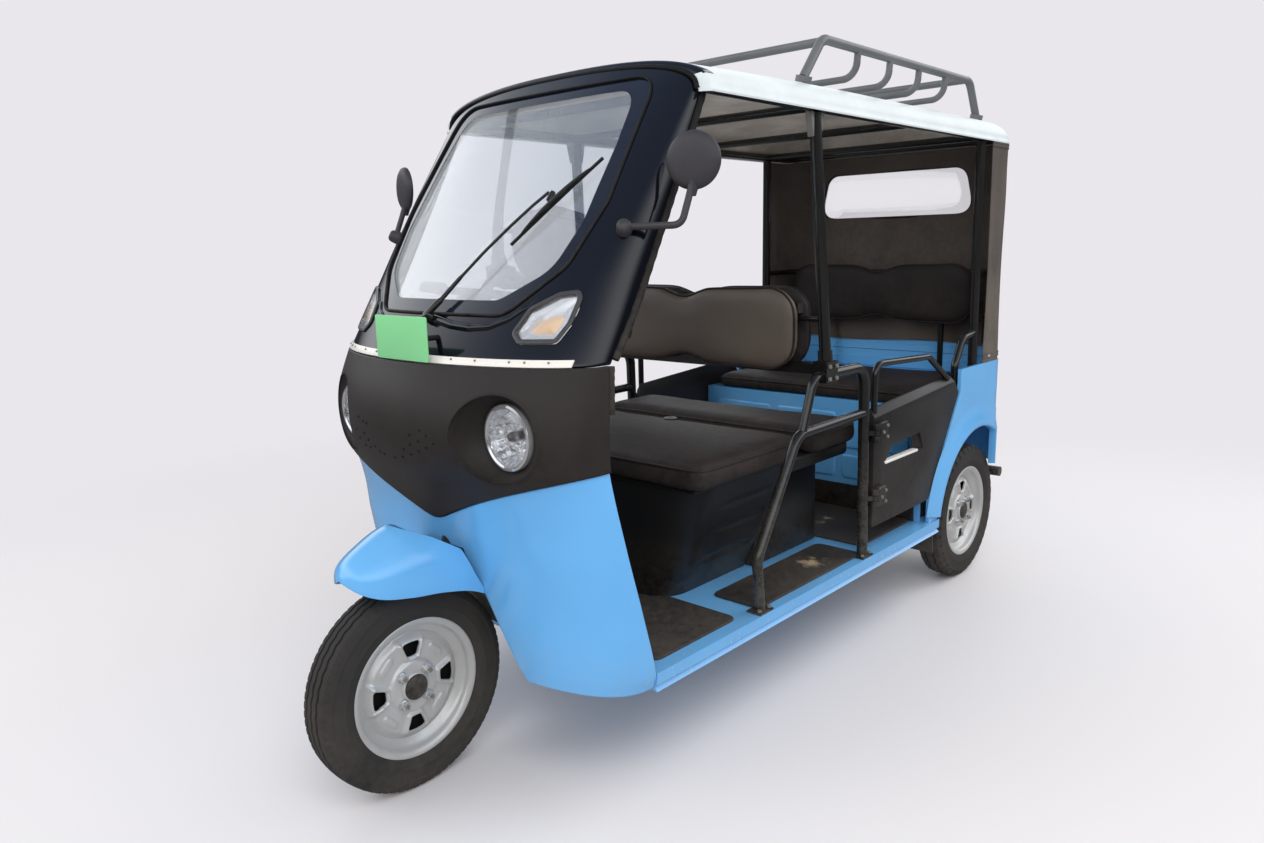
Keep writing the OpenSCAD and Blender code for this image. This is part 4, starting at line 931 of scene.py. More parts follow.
def makeHeadlamps(s):
    way = (1, 0, 0)
    for side, name in ((1, "Left"), (-1, "Right")):
        c = spot(s["x"], side * s["y"], s["h"])
        r = s["radius"] / 1000
        rim = lathe("lampRim" + name, [(r + dr, t) for dr, t in s["rim"]], c, way, 72, True)
        settle(rim, "chassis", None, "chrome")
        bowl = s["bowl"] + [(r - 0.007, 0.006)]
        fine = []
        for (a, b), (d, e) in zip(bowl, bowl[1:]):
            fine += [(a + (d - a) * k / 4, b + (e - b) * k / 4) for k in range(4)]
        mirror = lathe("lampReflector" + name, fine + [bowl[-1]], c, way, 96)
        for v in mirror.data.vertices:  # pressed facets of the reflector
            d = v.co - c
            ang = math.atan2(d.z, d.y)
            rad = math.hypot(d.y, d.z)
            v.co.x += (s["facetDepth"] * math.cos(ang * s["facets"]) * min(1, rad / 0.05)
                       + s["ringDepth"] * math.cos(rad * s["ringPitch"]))
        faceAlong(mirror, way)
        thicken(mirror, 0.0015, 60)
        settle(mirror, "chassis", None, "lampSilver")
        settle(lathe("lampBulb" + name, s["bulb"], c, way, 32), "chassis", None, "greyBezel")
        lens = lathe("lampLens" + name, s["lens"] + [(r - 0.0075, 0.006)], c, way, 72)
        faceAlong(lens, way)
        thicken(lens, 0.002, 60)
        settle(lens, "chassis", "lamp_clear", "clearLens", *(["headlamps"] if side > 0 else []))


stripSet = {"low": 706.4, "high": 721.6, "off": 4, "sweep": 66, "columns": 96, "wall": 0.008, "edge": 0.0015}


def makeStrip(s):
    n = s["columns"]
    angles = [-s["sweep"] + 2 * s["sweep"] * i / n for i in range(n + 1)]
    rows = [[skinPoint(upperSkin, s["low"] + (s["high"] - s["low"]) * t, a, s["off"]) for a in angles]
            for t in (0, 0.5, 1)]
    obj = gridPiece("lightStrip", rows)
    faceAlong(obj, (1, 0, 0))
    shellOut(obj, s["wall"], s["edge"])
    settle(obj, "chassis", "strip_white", "whiteStrip", "light_strip")


surroundSet = {"low": 706.4, "high": 1362, "wall": 0.010, "edge": 0.002, "columns": 120, "rows": 96,
               "roofFront": -562, "roofH": 1282, "seal": 0.0036,
               "glass": [(225, 805), (330, 905), (362, 1040), (348, 1322)],
               "lamp": [(268, 770), (286, 822), (340, 853), (378, 858), (388, 842), (386, 790), (372, 752),
                        (292, 750)]}


def glassOutline(s):
    right = s["glass"]
    full = right + [(-y, h) for y, h in reversed(right)]
    return denser(roundOutline(full, 70, 10), 14)


def makeSurround(s):
    angles = [-90 + 180 * i / s["columns"] for i in range(s["columns"] + 1)]
    rows = [[skinPoint(upperSkin, s["low"] + (s["high"] - s["low"]) * j / s["rows"], a) for a in angles]
            for j in range(s["rows"] + 1)]
    obj = gridPiece("screenSurround", rows)
    faceAlong(obj, (1, 0, 0))
    shellOut(obj, s["wall"], s["edge"])
    outline = glassOutline(s)
    cut(obj, prismX("glassCut", outline, -720, 60))
    for side in (-1, 1):
        lamp = [(side * y, h) for y, h in growOutline(roundOutline(s["lamp"], 14, 5), 1)]
        cut(obj, prismX("lampCut", lamp, -400, 60))
    roof = blockPiece("roofCut", (spot(-1000, -600, s["roofH"] - 0.4),
                                  spot(s["roofFront"] + 0.4, 600, s["roofH"] + 400)), 0.0001, 1)
    cut(obj, roof)
    settle(obj, "chassis", "surround_navy", "navyGloss", "screen_surround")
    pane = skinPatch("windscreenPane", upperSkin, growOutline(outline, -1), 26, lambda t: -2.5)
    shellOut(pane, 0.005, 0.0, sharp=60)
    settle(pane, "chassis", "glass", "screenGlass", "windscreen")
    line = [onSkin(upperSkin, y, h, 1.5) for y, h in outline]
    seal = pipe("screenSeal", line, s["seal"], 10, True)
    settle(seal, "chassis", None, "sealRubber")


def makeIndicators(s):
    for side, name in ((1, "Left"), (-1, "Right")):
        outline = [(side * y, h) for y, h in denser(roundOutline(s["lamp"], 14, 5), 9)]
        rings = [(0.5, 1.5), (0.0, 4.5), (-4, 6.0), (-8, 5.0), (-10, 0.0), (-10, -12.0)]
        rows = [[onSkin(upperSkin, y, h, off) for y, h in growOutline(outline, by)] for by, off in rings]
        bezel = gridPiece("indicatorBezel" + name, rows, True)
        faceAlong(bezel, (1, 0, 0))
        thicken(bezel, 0.002, 50)
        settle(bezel, "chassis", None, "greyBezel")
        inner = growOutline(outline, -9.5)
        back = skinPatch("indicatorReflector" + name, upperSkin, inner, 14, lambda t: -14 + 7 * t * t)
        shellOut(back, 0.002, sharp=60)
        settle(back, "chassis", None, "lampSilver")
        cy = sum(p[0] for p in inner) / len(inner)
        ch = sum(p[1] for p in inner) / len(inner)
        glow = [(cy + (y - cy) * 0.62, ch - 10 + (h - ch) * 0.42) for y, h in inner]
        amber = skinPatch("indicatorAmber" + name, upperSkin, glow, 8, lambda t: -6 - 5 * t * t)
        shellOut(amber, 0.002, sharp=60)
        settle(amber, "chassis", "lamp_amber", "amberLens")
        lens = skinPatch("indicatorLens" + name, upperSkin, inner, 14, lambda t: 2.5 + 3.5 * (1 - t * t))
        shellOut(lens, 0.0025, sharp=60)
        settle(lens, "chassis", "lamp_clear", "clearLens", *(["front_indicators"] if side > 0 else []))


makeApron(apronSet)
makeFender(fenderSet)
makeCowl(cowlSet)
makeHeadlamps(lampSet)
makeStrip(stripSet)
makeSurround(surroundSet)
makeIndicators(surroundSet)
print("front made")

# small fasteners and holes, laid on points by Geometry Nodes


def fastenerTree():
    tree = bpy.data.node_groups.new("fastenerField", "GeometryNodeTree")
    face = tree.interface
    face.new_socket("Geometry", in_out="INPUT", socket_type="NodeSocketGeometry")
    for label, kind in (("Radius", "NodeSocketFloat"), ("Depth", "NodeSocketFloat"),
                        ("Sides", "NodeSocketInt"),
                        ("Taper", "NodeSocketFloat"), ("Finish", "NodeSocketMaterial")):
        face.new_socket(label, in_out="INPUT", socket_type=kind)
    face.new_socket("Geometry", in_out="OUTPUT", socket_type="NodeSocketGeometry")
    add, link = tree.nodes.new, tree.links.new
    gi, go = add("NodeGroupInput"), add("NodeGroupOutput")
    head = add("GeometryNodeMeshCone")
    link(gi.outputs["Sides"], head.inputs["Vertices"])
    link(gi.outputs["Radius"], head.inputs["Radius Bottom"])
    top = add("ShaderNodeMath")
    top.operation = "MULTIPLY"
    link(gi.outputs["Radius"], top.inputs[0])
    link(gi.outputs["Taper"], top.inputs[1])
    link(top.outputs[0], head.inputs["Radius Top"])
    link(gi.outputs["Depth"], head.inputs["Depth"])
    aim = add("GeometryNodeInputNamedAttribute")
    aim.data_type = "FLOAT_VECTOR"
    aim.inputs["Name"].default_value = "aim"
    turn = add("FunctionNodeAlignRotationToVector")
    turn.axis = "Z"
    link(aim.outputs[0], turn.inputs["Vector"])
    spread = add("GeometryNodeInstanceOnPoints")
    link(gi.outputs["Geometry"], spread.inputs["Points"])
    link(head.outputs["Mesh"], spread.inputs["Instance"])
    link(turn.outputs[0], spread.inputs["Rotation"])
    real = add("GeometryNodeRealizeInstances")
    link(spread.outputs[0], real.inputs[0])
    paint = add("GeometryNodeSetMaterial")
    link(real.outputs[0], paint.inputs["Geometry"])
    link(gi.outputs["Finish"], paint.inputs["Material"])
    link(paint.outputs[0], go.inputs[0])
    return tree


fastenerField = fastenerTree()


def setInput(mod, label, value):
    for item in mod.node_group.interface.items_tree:
        if item.item_type == "SOCKET" and item.in_out == "INPUT" and item.name == label:
            mod[item.identifier] = value


def layFasteners(name, places, body, finishName, radius, depth, sides=12, taper=0.85):
    mesh = bpy.data.meshes.new(name)
    mesh.from_pydata([tuple(p) for p, way in places], [], [])
    ways = mesh.attributes.new("aim", "FLOAT_VECTOR", "POINT")
    ways.data.foreach_set("vector", [c for p, way in places for c in Vector(way).normalized()])
    obj = bpy.data.objects.new(name, mesh)
    scene.collection.objects.link(obj)
    mod = obj.modifiers.new("fasteners", "NODES")
    mod.node_group = fastenerField
    for label, value in (("Radius", radius), ("Depth", depth), ("Sides", sides), ("Taper", taper),
                         ("Finish", finish[finishName])):
        setInput(mod, label, value)
    bake(obj, 30)
    return settle(obj, body, None, finishName)


# wheels

# wall and edge are (radius, offset) rows from the bead to the tread, one side
tyreSet = {"radius": 247.5, "steps": 360, "shoulder": 36, "crownDrop": 3.2,
           "wall": [(153, -34.5), (159, -35), (164, -36), (172, -41), (182, -45.5), (190, -47.2),
                    (192, -47.9), (194, -47.3),
                    (202, -47.8), (214, -47.2), (222, -45.6), (224, -46.2), (227, -45.0)],
           "edge": [(233, -43.5), (238, -41), (241, -38.5)],
           "front": {"grooves": (-20, 0, 20), "wave": 1.6, "waves": 48, "depth": 6.5, "notch": 2.0,
                     "period": 5, "gap": 1},
           "rear": {"grooves": (-15, 15), "wave": 3.0, "waves": 40, "depth": 8.0, "notch": 6.5, "period": 9,
                    "gap": 3}}


def makeTyre(name, centre, out, kind, body, node):
    s, k = tyreSet, tyreSet[kind]
    crown, shoulder, drop = s["radius"], s["shoulder"], s["crownDrop"]
    rows = []
    for t in range(s["steps"]):
        a = 2 * math.pi * t / s["steps"]
        wob = k["wave"] * (2 * abs((t * k["waves"] / s["steps"]) % 1 - 0.5) * 2 - 1)
        tread = []
        for g in k["grooves"]:
            for dy, deep in ((-3.4, 0), (-2.2, k["depth"]), (2.2, k["depth"]), (3.4, 0)):
                y = g + wob + dy
                tread.append((crown - drop * (y / shoulder) ** 2 - deep, y))
        flanks = []
        for shift in (0, k["period"] // 2):  # the lugs of the two sides are staggered
            notch = k["notch"] if (t + shift) % k["period"] < k["gap"] else 0
            flanks.append(s["wall"] + [(r - notch, y + notch * 0.25) for r, y in s["edge"]]
                          + [(crown - drop - notch * 0.8, -shoulder)])
        ring = flanks[0] + tread + [(r, -y) for r, y in reversed(flanks[1])]
        rows.append([Vector(centre) + Vector((math.cos(a) * r, out * y, math.sin(a) * r)) / 1000 for r,
                     y in ring])
    n = len(rows[0])
    obj = newPiece(name, [p for r in rows for p in r], gridFaces(len(rows), n, True)
                   + [((len(rows) - 1) * n + i, (len(rows) - 1) * n + (i + 1) % n, (i + 1) % n, i)
                      for i in range(n)])
    closeUp(obj)
    sharpen(obj, 32)
    settle(obj, body, "tyre", "tyreRubber", node)


# profiles are (radius, offset) rows in millimetres
rimSet = {"barrel": [(166, 37), (166.5, 39), (165, 40), (161, 39.6), (157, 38), (153.5, 36), (151, 34),
                     (149.5, 30), (149, 24),
                     (147, 20), (141, 17), (133, 11), (128.5, 8), (127.5, -8), (130, -13), (146, -19),
                     (149, -24), (149, -33),
                     (153, -37), (160, -39.4), (166, -39), (166, -37), (155, -34), (152.5, -30), (152, -22),
                     (133, -15),
                     (131, -10), (131, 5), (135, 8), (150, 15), (152.3, 20), (152.3, 30), (155, 34)],
          "hub": [(30, 21), (36, 21), (36, 27), (34, 30), (31, 31), (31, 28), (30, 22)],
          "drum": [(16, -46), (58, -46), (60, -42), (60, 10), (52, 17), (16, 17)],
          # back: a black plate behind the windows, painted shade for the dark inside of the wheel
          "back": [(58, -6), (124, -6), (124, -3), (58, -3)],
          "cap": [(0.1, 36.5), (10, 36.5), (24, 35.5), (29, 34), (31, 30), (31, 24)],
          "windowIn": 74, "windowOut": 107, "windowHalfIn": 13, "windowHalfOut": 26,
          "nutCircle": 48, "nutRadius": 0.0105, "rings": 44, "steps": 192, "wall": 0.004}


def makeRim(name, centre, out, body, node):
    s = rimSet
    centre = Vector(centre)

    def at(r, a, z):
        return centre + Vector((math.cos(a) * r, out * z, math.sin(a) * r)) / 1000

    rows = [[at(r, 2 * math.pi * i / 120, z) for i in range(120)] for r, z in s["barrel"]]
    ring = gridPiece(name + "Barrel", rows + [rows[0]], True)
    closeUp(ring)
    slope = (s["windowHalfOut"] - s["windowHalfIn"]) / (s["windowOut"] - s["windowIn"])

    def height(r, a):
        z = 24.0 - 7.0 * min(1, max(0, (r - 57) / 10)) ** 2 * (3 - 2 * min(1, max(0, (r - 57) / 10)))
        lift = 0.0
        for q in range(4):
            b = (a - q * math.pi / 2 + math.pi) % (2 * math.pi) - math.pi
            if abs(b) > 0.9:
                continue
            u, v = r * math.cos(b), abs(r * math.sin(b))
            half = s["windowHalfIn"] + slope * (u - s["windowIn"])
            sides = abs(v - half - 4) * 0.95 if u > s["windowIn"] - 6 else 99
            inner = math.hypot(max(v - s["windowHalfIn"], 0), u - s["windowIn"] + 5)
            d = min(sides, inner)
            fade = min(1, max(0, (126 - r) / 14))
            lift = max(lift, 9.5 * math.exp(-(d / 5.2) ** 2) * fade)
            if v < half and u > s["windowIn"] - 4:
                lift = max(lift, 4.0 * fade)
        z += lift
        for q in range(4):  # embossed slot between the windows
            b = (a - math.pi / 4 - q * math.pi / 2 + math.pi) % (2 * math.pi) - math.pi
            u, v = r * math.cos(b) - 95, r * math.sin(b)
            d = math.hypot(max(abs(v) - 14, 0), u) - 8
            z += 3.6 / (1 + math.exp(d * 1.1)) if d < 12 else 0
        drop = min(1, max(0, (r - 108) / 20))
        return z - 12 * drop * drop * (3 - 2 * drop)

    radii = [22 + (129.5 - 22) * j / s["rings"] for j in range(s["rings"] + 1)]
    rows = [[at(r, 2 * math.pi * i / s["steps"], height(r, 2 * math.pi * i / s["steps"]))
             for i in range(s["steps"])] for r in radii]
    disc = gridPiece(name + "Disc", rows, True)
    faceAlong(disc, (0, out, 0))
    thicken(disc, s["wall"], 50)
    for q in range(4):
        b = q * math.pi / 2
        shape = roundOutline([(s["windowIn"], -s["windowHalfIn"]), (s["windowOut"], -s["windowHalfOut"]),
                              (s["windowOut"] + 2, 0), (s["windowOut"], s["windowHalfOut"]),
                              (s["windowIn"], s["windowHalfIn"])], 9, 5)
        ends = [[at(math.hypot(u, v), b + math.atan2(v, u), z) for u, v in shape] for z in (-20, 60)]
        cut(disc, prism("windowCut", ends))
    turned = {}
    for part, steps in (("hub", 48), ("drum", 64), ("back", 64)):
        turned[part] = lathe(name + part.capitalize(), s[part], (0, 0, 0), (0, out, 0), steps, True)
        turned[part].data.transform(Matrix.Translation(centre) @ Matrix.Scale(0.001, 4))
    settle(turned["back"], body, None, "paintedShadeBlack")  # painted shade: a black plate behind the windows stands in for the shade inside the wheel
    obj = joinPieces(name, [ring, disc, turned["hub"], turned["drum"]])
    smoothFaces(obj)
    sharpen(obj, 40)
    settle(obj, body, "rim_silver", "rimSilver", node)
    cap = lathe(name + "Cap", [(r / 1000, t / 1000) for r, t in s["cap"]], centre, (0, out, 0), 48)
    settle(cap, body, None, "blackPlastic")
    spots = [(at(s["nutCircle"], math.pi / 4 + q * math.pi / 2, 24.5), (0, out, 0)) for q in range(4)]
    layFasteners(name + "NutSeats", spots, body, "chrome", 0.0135, 0.005, 24, 0.88)
    layFasteners(name + "Nuts", [(p + Vector((0, out * 0.004, 0)), w) for p, w in spots], body, "chrome",
                 s["nutRadius"], 0.012, 6, 0.92)
    layFasteners(name + "Studs", [(p + Vector((0, out * 0.015, 0)), w) for p, w in spots], body, "satinGrey",
                 0.0052, 0.006, 14, 0.8)


for name, x, y, out, kind, body, node in (("wheelFront", 0, 0, 1, "front", "front_wheel", "front"),
                                          ("wheelRearLeft", rearAxle, rearTrack, 1, "rear", "rear_wheel_left",
                                           "rear_left"),
                                          ("wheelRearRight", rearAxle, -rearTrack, -1, "rear",
                                           "rear_wheel_right", "rear_right")):
    middle = (axleX + x / 1000, y / 1000, tyreSet["radius"] / 1000)
    makeTyre(name + "Tyre", middle, out, kind, body, "tyre_" + node)
    makeRim(name + "Rim", middle, out, body, "rim_" + node)
print("wheels made")

# cushions and pads: plump blocks swollen by a short cloth run

padSet = {"voxel": 0.010, "pressure": 4.0, "frames": 20, "cap": 0.007, "quality": 4, "mass": 0.4,
          "stretch": 24, "bend": 3,
          "pads": {
              "driverCushion": dict(kind="flat", x=(-1059, -566), y=432, h=(350, 422), corner=55,
                                    node="driver_cushion"),
              "passengerCushion": dict(kind="flat", x=(-1366, -1111), y=432, h=(350, 422), corner=40,
                                       node="passenger_cushion"),
              "benchCushion": dict(kind="flat", x=(-2260, -1734), y=415, h=(396.5, 452), corner=40,
                                   node="bench_cushion"),
              "driverBackrest": dict(kind="back", x=(-1070.5, -1027), w=400, h=(587, 832),
                                     node="driver_backrest", finish="vinylWarm"),
              "passengerBackrest": dict(kind="back", x=(-1143, -1099.5), w=400, h=(587, 832),
                                        node="passenger_backrest"),
              "benchBackrest": dict(kind="back", x=(-2300.5, -2256), w=398, h=(620, 860),
                                    node="bench_backrest")}}


def backOutline(w, low, high, n=120):  # two lobes that meet in a dip at the middle
    top = [(-w + 2 * w * i / n, high - 26 * math.exp(-((-w + 2 * w * i / n) / 62) ** 2))
           for i in range(n + 1)]
    foot = [(w - 2 * w * i / n, low + 24 * math.exp(-((w - 2 * w * i / n) / 70) ** 2)) for i in range(n + 1)]

    def soften(p):  # big round corners
        y, h = p
        r = 96
        mid = (low + high) / 2
        if abs(y) > w - r:
            k = math.sqrt(max(0, 1 - ((abs(y) - (w - r)) / r) ** 2))
            h = mid + (h - mid) * (0.30 + 0.70 * k)
        return y, h
    return [soften(p) for p in top + foot]


def swell(obj, s):
    pins = [v.co.copy() for v in obj.data.vertices]
    mod = obj.modifiers.new("cloth", "CLOTH")
    c = mod.settings
    c.use_pressure, c.uniform_pressure_force = True, s["pressure"]
    c.effector_weights.gravity = 0.0
    c.quality, c.mass, c.bending_stiffness = s["quality"], s["mass"], s["bend"]
    c.tension_stiffness = c.compression_stiffness = s["stretch"]
    mod.point_cache.frame_start, mod.point_cache.frame_end = 1, s["frames"]
    for f in range(1, s["frames"] + 1):
        scene.frame_set(f)
    dg = bpy.context.evaluated_depsgraph_get()
    moved = obj.evaluated_get(dg).to_mesh()
    new = [v.co.copy() for v in moved.vertices]
    obj.modifiers.clear()
    scene.frame_set(1)
    for v, a, b in zip(obj.data.vertices, pins, new):
        d = b - a
        if d.length > s["cap"]:
            d = d * (s["cap"] / d.length)
        v.co = a + d


def makePad(name, p, s):
    if p["kind"] == "flat":
        (x0, x1), (h0, h1), y, r = p["x"], p["h"], p["y"], p["corner"]
        plan = roundOutline([(x0 + 5, -y + 5), (x1 - 5, -y + 5), (x1 - 5, y - 5), (x0 + 5, y - 5)], r, 8)
        plan = denser(plan, 30)
        rings = [(16, h0), (3, h0 + 5), (0, h0 + 18), (0, h1 - 32), (4, h1 - 18), (14, h1 - 9), (30, h1 - 5)]
        rows = [[spot(px, py, h) for px, py in growOutline(plan, -by)] for by, h in rings]
        obj = gridPiece(name, rows, True)
    else:
        (x0, x1), (h0, h1) = p["x"], p["h"]
        plan = denser(backOutline(p["w"] - 4, h0 + 4, h1 - 4), 12)
        rings = [(10, x0 + 0.5), (2, x0 + 5), (0, x0 + 12), (0, x1 - 22), (3, x1 - 12), (11, x1 - 6),
                 (24, x1 - 4)]
        if name != "driverBackrest" and name != "benchBackrest":  # this one faces the rear
            rings = [(by, x0 + x1 - x) for by, x in rings]
        rows = [[spot(x, py, ph) for py, ph in growOutline(plan, -by)] for by, x in rings]
        obj = gridPiece(name, rows, True)
    fillEnds(obj)
    addModifier(obj, "REMESH", mode="VOXEL", voxel_size=s["voxel"], use_smooth_shade=True)
    addModifier(obj, "SMOOTH", factor=0.5, iterations=3)
    bake(obj, 180)
    swell(obj, s)
    addModifier(obj, "SUBSURF", levels=1, render_levels=1)
    bake(obj, 180)
    settle(obj, "chassis", "vinyl", p.get("finish", "vinyl"), p["node"])
    return obj


def welt(name, host, path, radius=0.0035):  # piping sewn along a pad's edge
    line = []
    for q in path:
        near, normal = host.closest_point_on_mesh(q)[1:3]
        line.append(near + normal * radius * 0.4)
    for _ in range(2):
        line = [(line[i - 1] + line[i] * 2 + line[(i + 1) % len(line)]) / 4 for i in range(len(line))]
    obj = pipe(name, line, radius, 8, True)
    settle(obj, "chassis", "vinyl", "vinyl")


def makePads(s):
    for name, p in s["pads"].items():
        obj = makePad(name, p, s)
        if p["kind"] == "flat":
            (x0, x1), y, r = p["x"], p["y"], p["corner"]
            plan = denser(roundOutline([(x0 + 8, -y + 8), (x1 - 8, -y + 8), (x1 - 8, y - 8), (x0 + 8, y - 8)],
                                       r, 8), 14)
            welt(name + "Welt", obj, [spot(px, py, p["h"][1] - 16) for px, py in plan])
        else:
            front = p["x"][1] - 12 if name != "passengerBackrest" else p["x"][0] + 12
            plan = denser(backOutline(p["w"], *p["h"]), 14)
            welt(name + "Welt", obj, [spot(front, py, ph) for py, ph in plan])


makePads(padSet)
print("cushions made")

# roof, with its rolled lip and the bare underside

roofSet = {"front": -562, "rear": -2414, "corner": 130, "lip": 1282, "half": 471, "crown": 112,
           "frontDrop": 20,
           "band": 26, "bandSlope": 0.07, "nose": [(4, 5, 0.03), (8, 16, 0.09), (10, 30, 0.17)],
           "stations": 56, "cornerSteps": 20, "arc": 96, "wall": 0.008}


def roofSection(s, k):  # k runs 0 to 1 along the straight part, then to 2 round the rear corner
    straight = s["rear"] + s["corner"]
    if k <= 1:
        return (s["front"] + (straight - s["front"]) * k, s["half"], s["crown"]
                - s["frontDrop"] * max(1 - 2 * k, 0) ** 2)
    f = math.cos(math.pi / 2 * (k - 1))
    return (straight - s["corner"] * math.sin(math.pi / 2 * (k - 1)), s["half"] - 110 * (1 - f),
            s["crown"] * (0.06 + 0.94 * f))


def makeRoof(s):
    rows = []
    front = []
    steps = [j / s["stations"] for j in range(s["stations"] + 1)] + [1 + j / s["cornerSteps"]
                                                                     for j in range(1, s["cornerSteps"] + 1)]
    for k in steps:
        x, half, rise = roofSection(s, k)
        row = [spot(x, half + 5, s["lip"] - 9), spot(x, half + 6, s["lip"] - 5),
               spot(x, half + 3, s["lip"] - 1)]
        for i in range(1, s["arc"]):
            b = math.pi * i / s["arc"]
            c = math.cos(b)
            row.append(spot(x, math.copysign(half * abs(c) ** 0.8, c), s["lip"] + rise * math.sin(b) ** 0.8))
        row += [Vector((p.x, -p.y, p.z)) for p in reversed(row[:3])]
        rows.append(row)
    foot = spot(0, 0, s["lip"]).z
    for ahead, inward, sink in s["nose"]:  # the front edge curls in to the windscreen surround
        front.insert(0, [Vector((p.x + ahead / 1000, p.y * (1 - inward / s["half"]), foot
                                 + (p.z - foot) * (1 - sink))) for p in rows[0]])
    trim = pipe("roofTrim", front[0][2:-2], 0.006, 10)
    settle(trim, "chassis", None, "sealRubber")
    rows = front + rows
    last = rows[-1]
    for back, drop in ((4, 3), (6, 9)):
        rows.append([Vector((p.x - back / 1000, p.y, min(p.z, spot(0, 0, s["lip"] - drop).z))) for p in last])
    obj = gridPiece("roofShell", rows)
    faceAlong(obj, (0, 0, 1))
    addModifier(obj, "SOLIDIFY", thickness=s["wall"], offset=-1.0, material_offset=1, material_offset_rim=0)
    obj.data.materials.append(finish["whiteShell"])
    obj.data.materials.append(finish["roofUnder"])
    obj.data.materials.append(finish["navyGloss"])
    bake(obj, 40)
    for face in obj.data.polygons:  # the front edge over the windscreen is black
        rise = face.center.z - foot
        if face.center.x > spot(s["front"] - s["band"], 0,
                                0).x and rise > s["bandSlope"] * abs(face.center.y):
            face.material_index = 2
    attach(obj, "chassis")
    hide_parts("roof_shell")


makeRoof(roofSet)

# canvas back: one sheet round the corners, with its window, hems, folds and stitches

canvasSet = {"wall": -2387, "corner": 97, "half": 475, "front": -2167, "low": 497, "high": 1281,
             "columns": 220, "rows": 96, "thick": 0.0025, "fold": 3.6,
             "window": [(-330, 1036), (330, 1036), (292, 1214), (-292, 1214)], "windowRound": 62}


def canvasPath(s):  # plan line with outward normals, from the left front edge round to the right one
    line = []
    r, w, x = s["corner"], s["half"] - s["corner"], s["wall"] + s["corner"]
    for k in range(24):
        line.append(((s["front"] + (x - s["front"]) * k / 24, s["half"]), (0, 1)))
    for k in range(28):
        a = math.pi / 2 + math.pi / 2 * k / 28
        line.append(((x + r * math.cos(a), w + r * math.sin(a)), (math.cos(a), math.sin(a))))
    n = s["columns"] - 2 * 52
    for k in range(n):
        line.append(((s["wall"], w - 2 * w * k / n), (-1, 0)))
    back = [((px, -py), (nx, -ny)) for (px, py), (nx, ny) in reversed(line[:52])]
    return line + [((s["wall"], -w), (-1, 0))] + back


def canvasFold(s, i, n, t):
    u = i / n
    edge = min(u, 1 - u)
    drape = math.sin(u * 70 + 2.2 * math.sin(3 * t)) * math.exp(-((edge - 0.08) / 0.07) ** 2)
    slack = 0.6 * math.sin(u * 23 + 4 * t) * math.sin(math.pi * t)
    pull = 0.7 * math.exp(-((edge - 0.165) / 0.02) ** 2) * math.sin(9 * t + u * 5)
    return s["fold"] * (drape + slack + pull) * min(1, 6 * t, 6 * (1 - t)) - 2.0


def makeCanvas(s):
    line = canvasPath(s)
    n = len(line) - 1
    rows = []
    for j in range(s["rows"] + 1):
        t = j / s["rows"]
        h = s["low"] + (s["high"] - s["low"]) * t
        rows.append([spot(px + nx * canvasFold(s, i, n, t), py + ny * canvasFold(s, i, n, t), h)
                     for i, ((px, py), (nx, ny)) in enumerate(line)])
    obj = gridPiece("rearCanvas", rows)
    faceAlong(obj, (-1, 0, 0))
    cutter = roundOutline(s["window"], s["windowRound"], 10)
    thicken(obj, s["thick"], 60, 0.0)
    cut(obj, prismX("windowCut", cutter, s["wall"] - 40, s["wall"] + 60))
    sharpen(obj, 60)
    settle(obj, "chassis", "canvas", "canvasCloth", "rear_canvas")
    hem = pipe("windowHem", [spot(s["wall"] - 2, y, h) for y, h in growOutline(denser(cutter, 14), 2)],
               0.0055, 10, True)
    settle(hem, "chassis", None, "sealRubber")
    for name, t in (("canvasHemLow", 0.02), ("canvasHemHigh", 0.965)):
        band = []
        for dt in (0.0, 0.012, 0.024):
            h = s["low"] + (s["high"] - s["low"]) * (t + dt)
            band.append([spot(px + nx * (canvasFold(s, i, n, t + dt) + 2.2), py
                              + ny * (canvasFold(s, i, n, t + dt) + 2.2), h)
                         for i, ((px, py), (nx, ny)) in enumerate(line)])
        piece = gridPiece(name, band)
        faceAlong(piece, (-1, 0, 0))
        thicken(piece, 0.0018, 60, 0.0)
        settle(piece, "chassis", "canvas", "canvasCloth")
    places = []
    for t in (0.026, 0.038, 0.97, 0.982):
        for i in range(0, n, 2):
            (px, py), (nx, ny) = line[i]
            f = canvasFold(s, i, n, t) + 3.4
            places.append((spot(px + nx * f, py + ny * f, s["low"] + (s["high"] - s["low"]) * t),
                           (nx, ny, 0)))
    layFasteners("canvasStitches", places, "chassis", "blackPlastic", 0.0016, 0.0012, 8, 0.5)
    studs = []
    for i in (10, 40, 74, 110, 146, 180, 210):
        (px, py), (nx, ny) = line[i]
        f = canvasFold(s, i, n, 0.03) + 3.6
        studs.append((spot(px + nx * f, py + ny * f, s["low"] + (s["high"] - s["low"]) * 0.032), (nx, ny, 0)))
    layFasteners("canvasStuds", studs, "chassis", "chrome", 0.006, 0.004, 20, 0.6)
    pane = prismX("rearPane", growOutline(denser(cutter, 14), -0.5), s["wall"] + 1.0, s["wall"] + 2.2)
    settle(pane, "chassis", "clear_vinyl", "clearVinyl", "rear_window")


makeCanvas(canvasSet)
print("roof and canvas made")

# doors: pressed panels with a bevelled top, a hand hole, a tube rail and cast hinges

doorSet = {"y": 466, "thick": 22, "outline": [(-1350, 84), (-1745, 84), (-1962, 422), (-1905, 488),
                                              (-1350, 450)], "bevel": 27,
           "hole": [(-1424, 275), (-1471, 321), (-1664, 329), (-1690, 275)],
           "rail": [(-1364, 438), (-1364, 585), (-1730, 569), (-1885, 478)], "railRadius": 0.010,
           "hinges": (182, 383), "hingeX": -1340, "hingeY": 488}


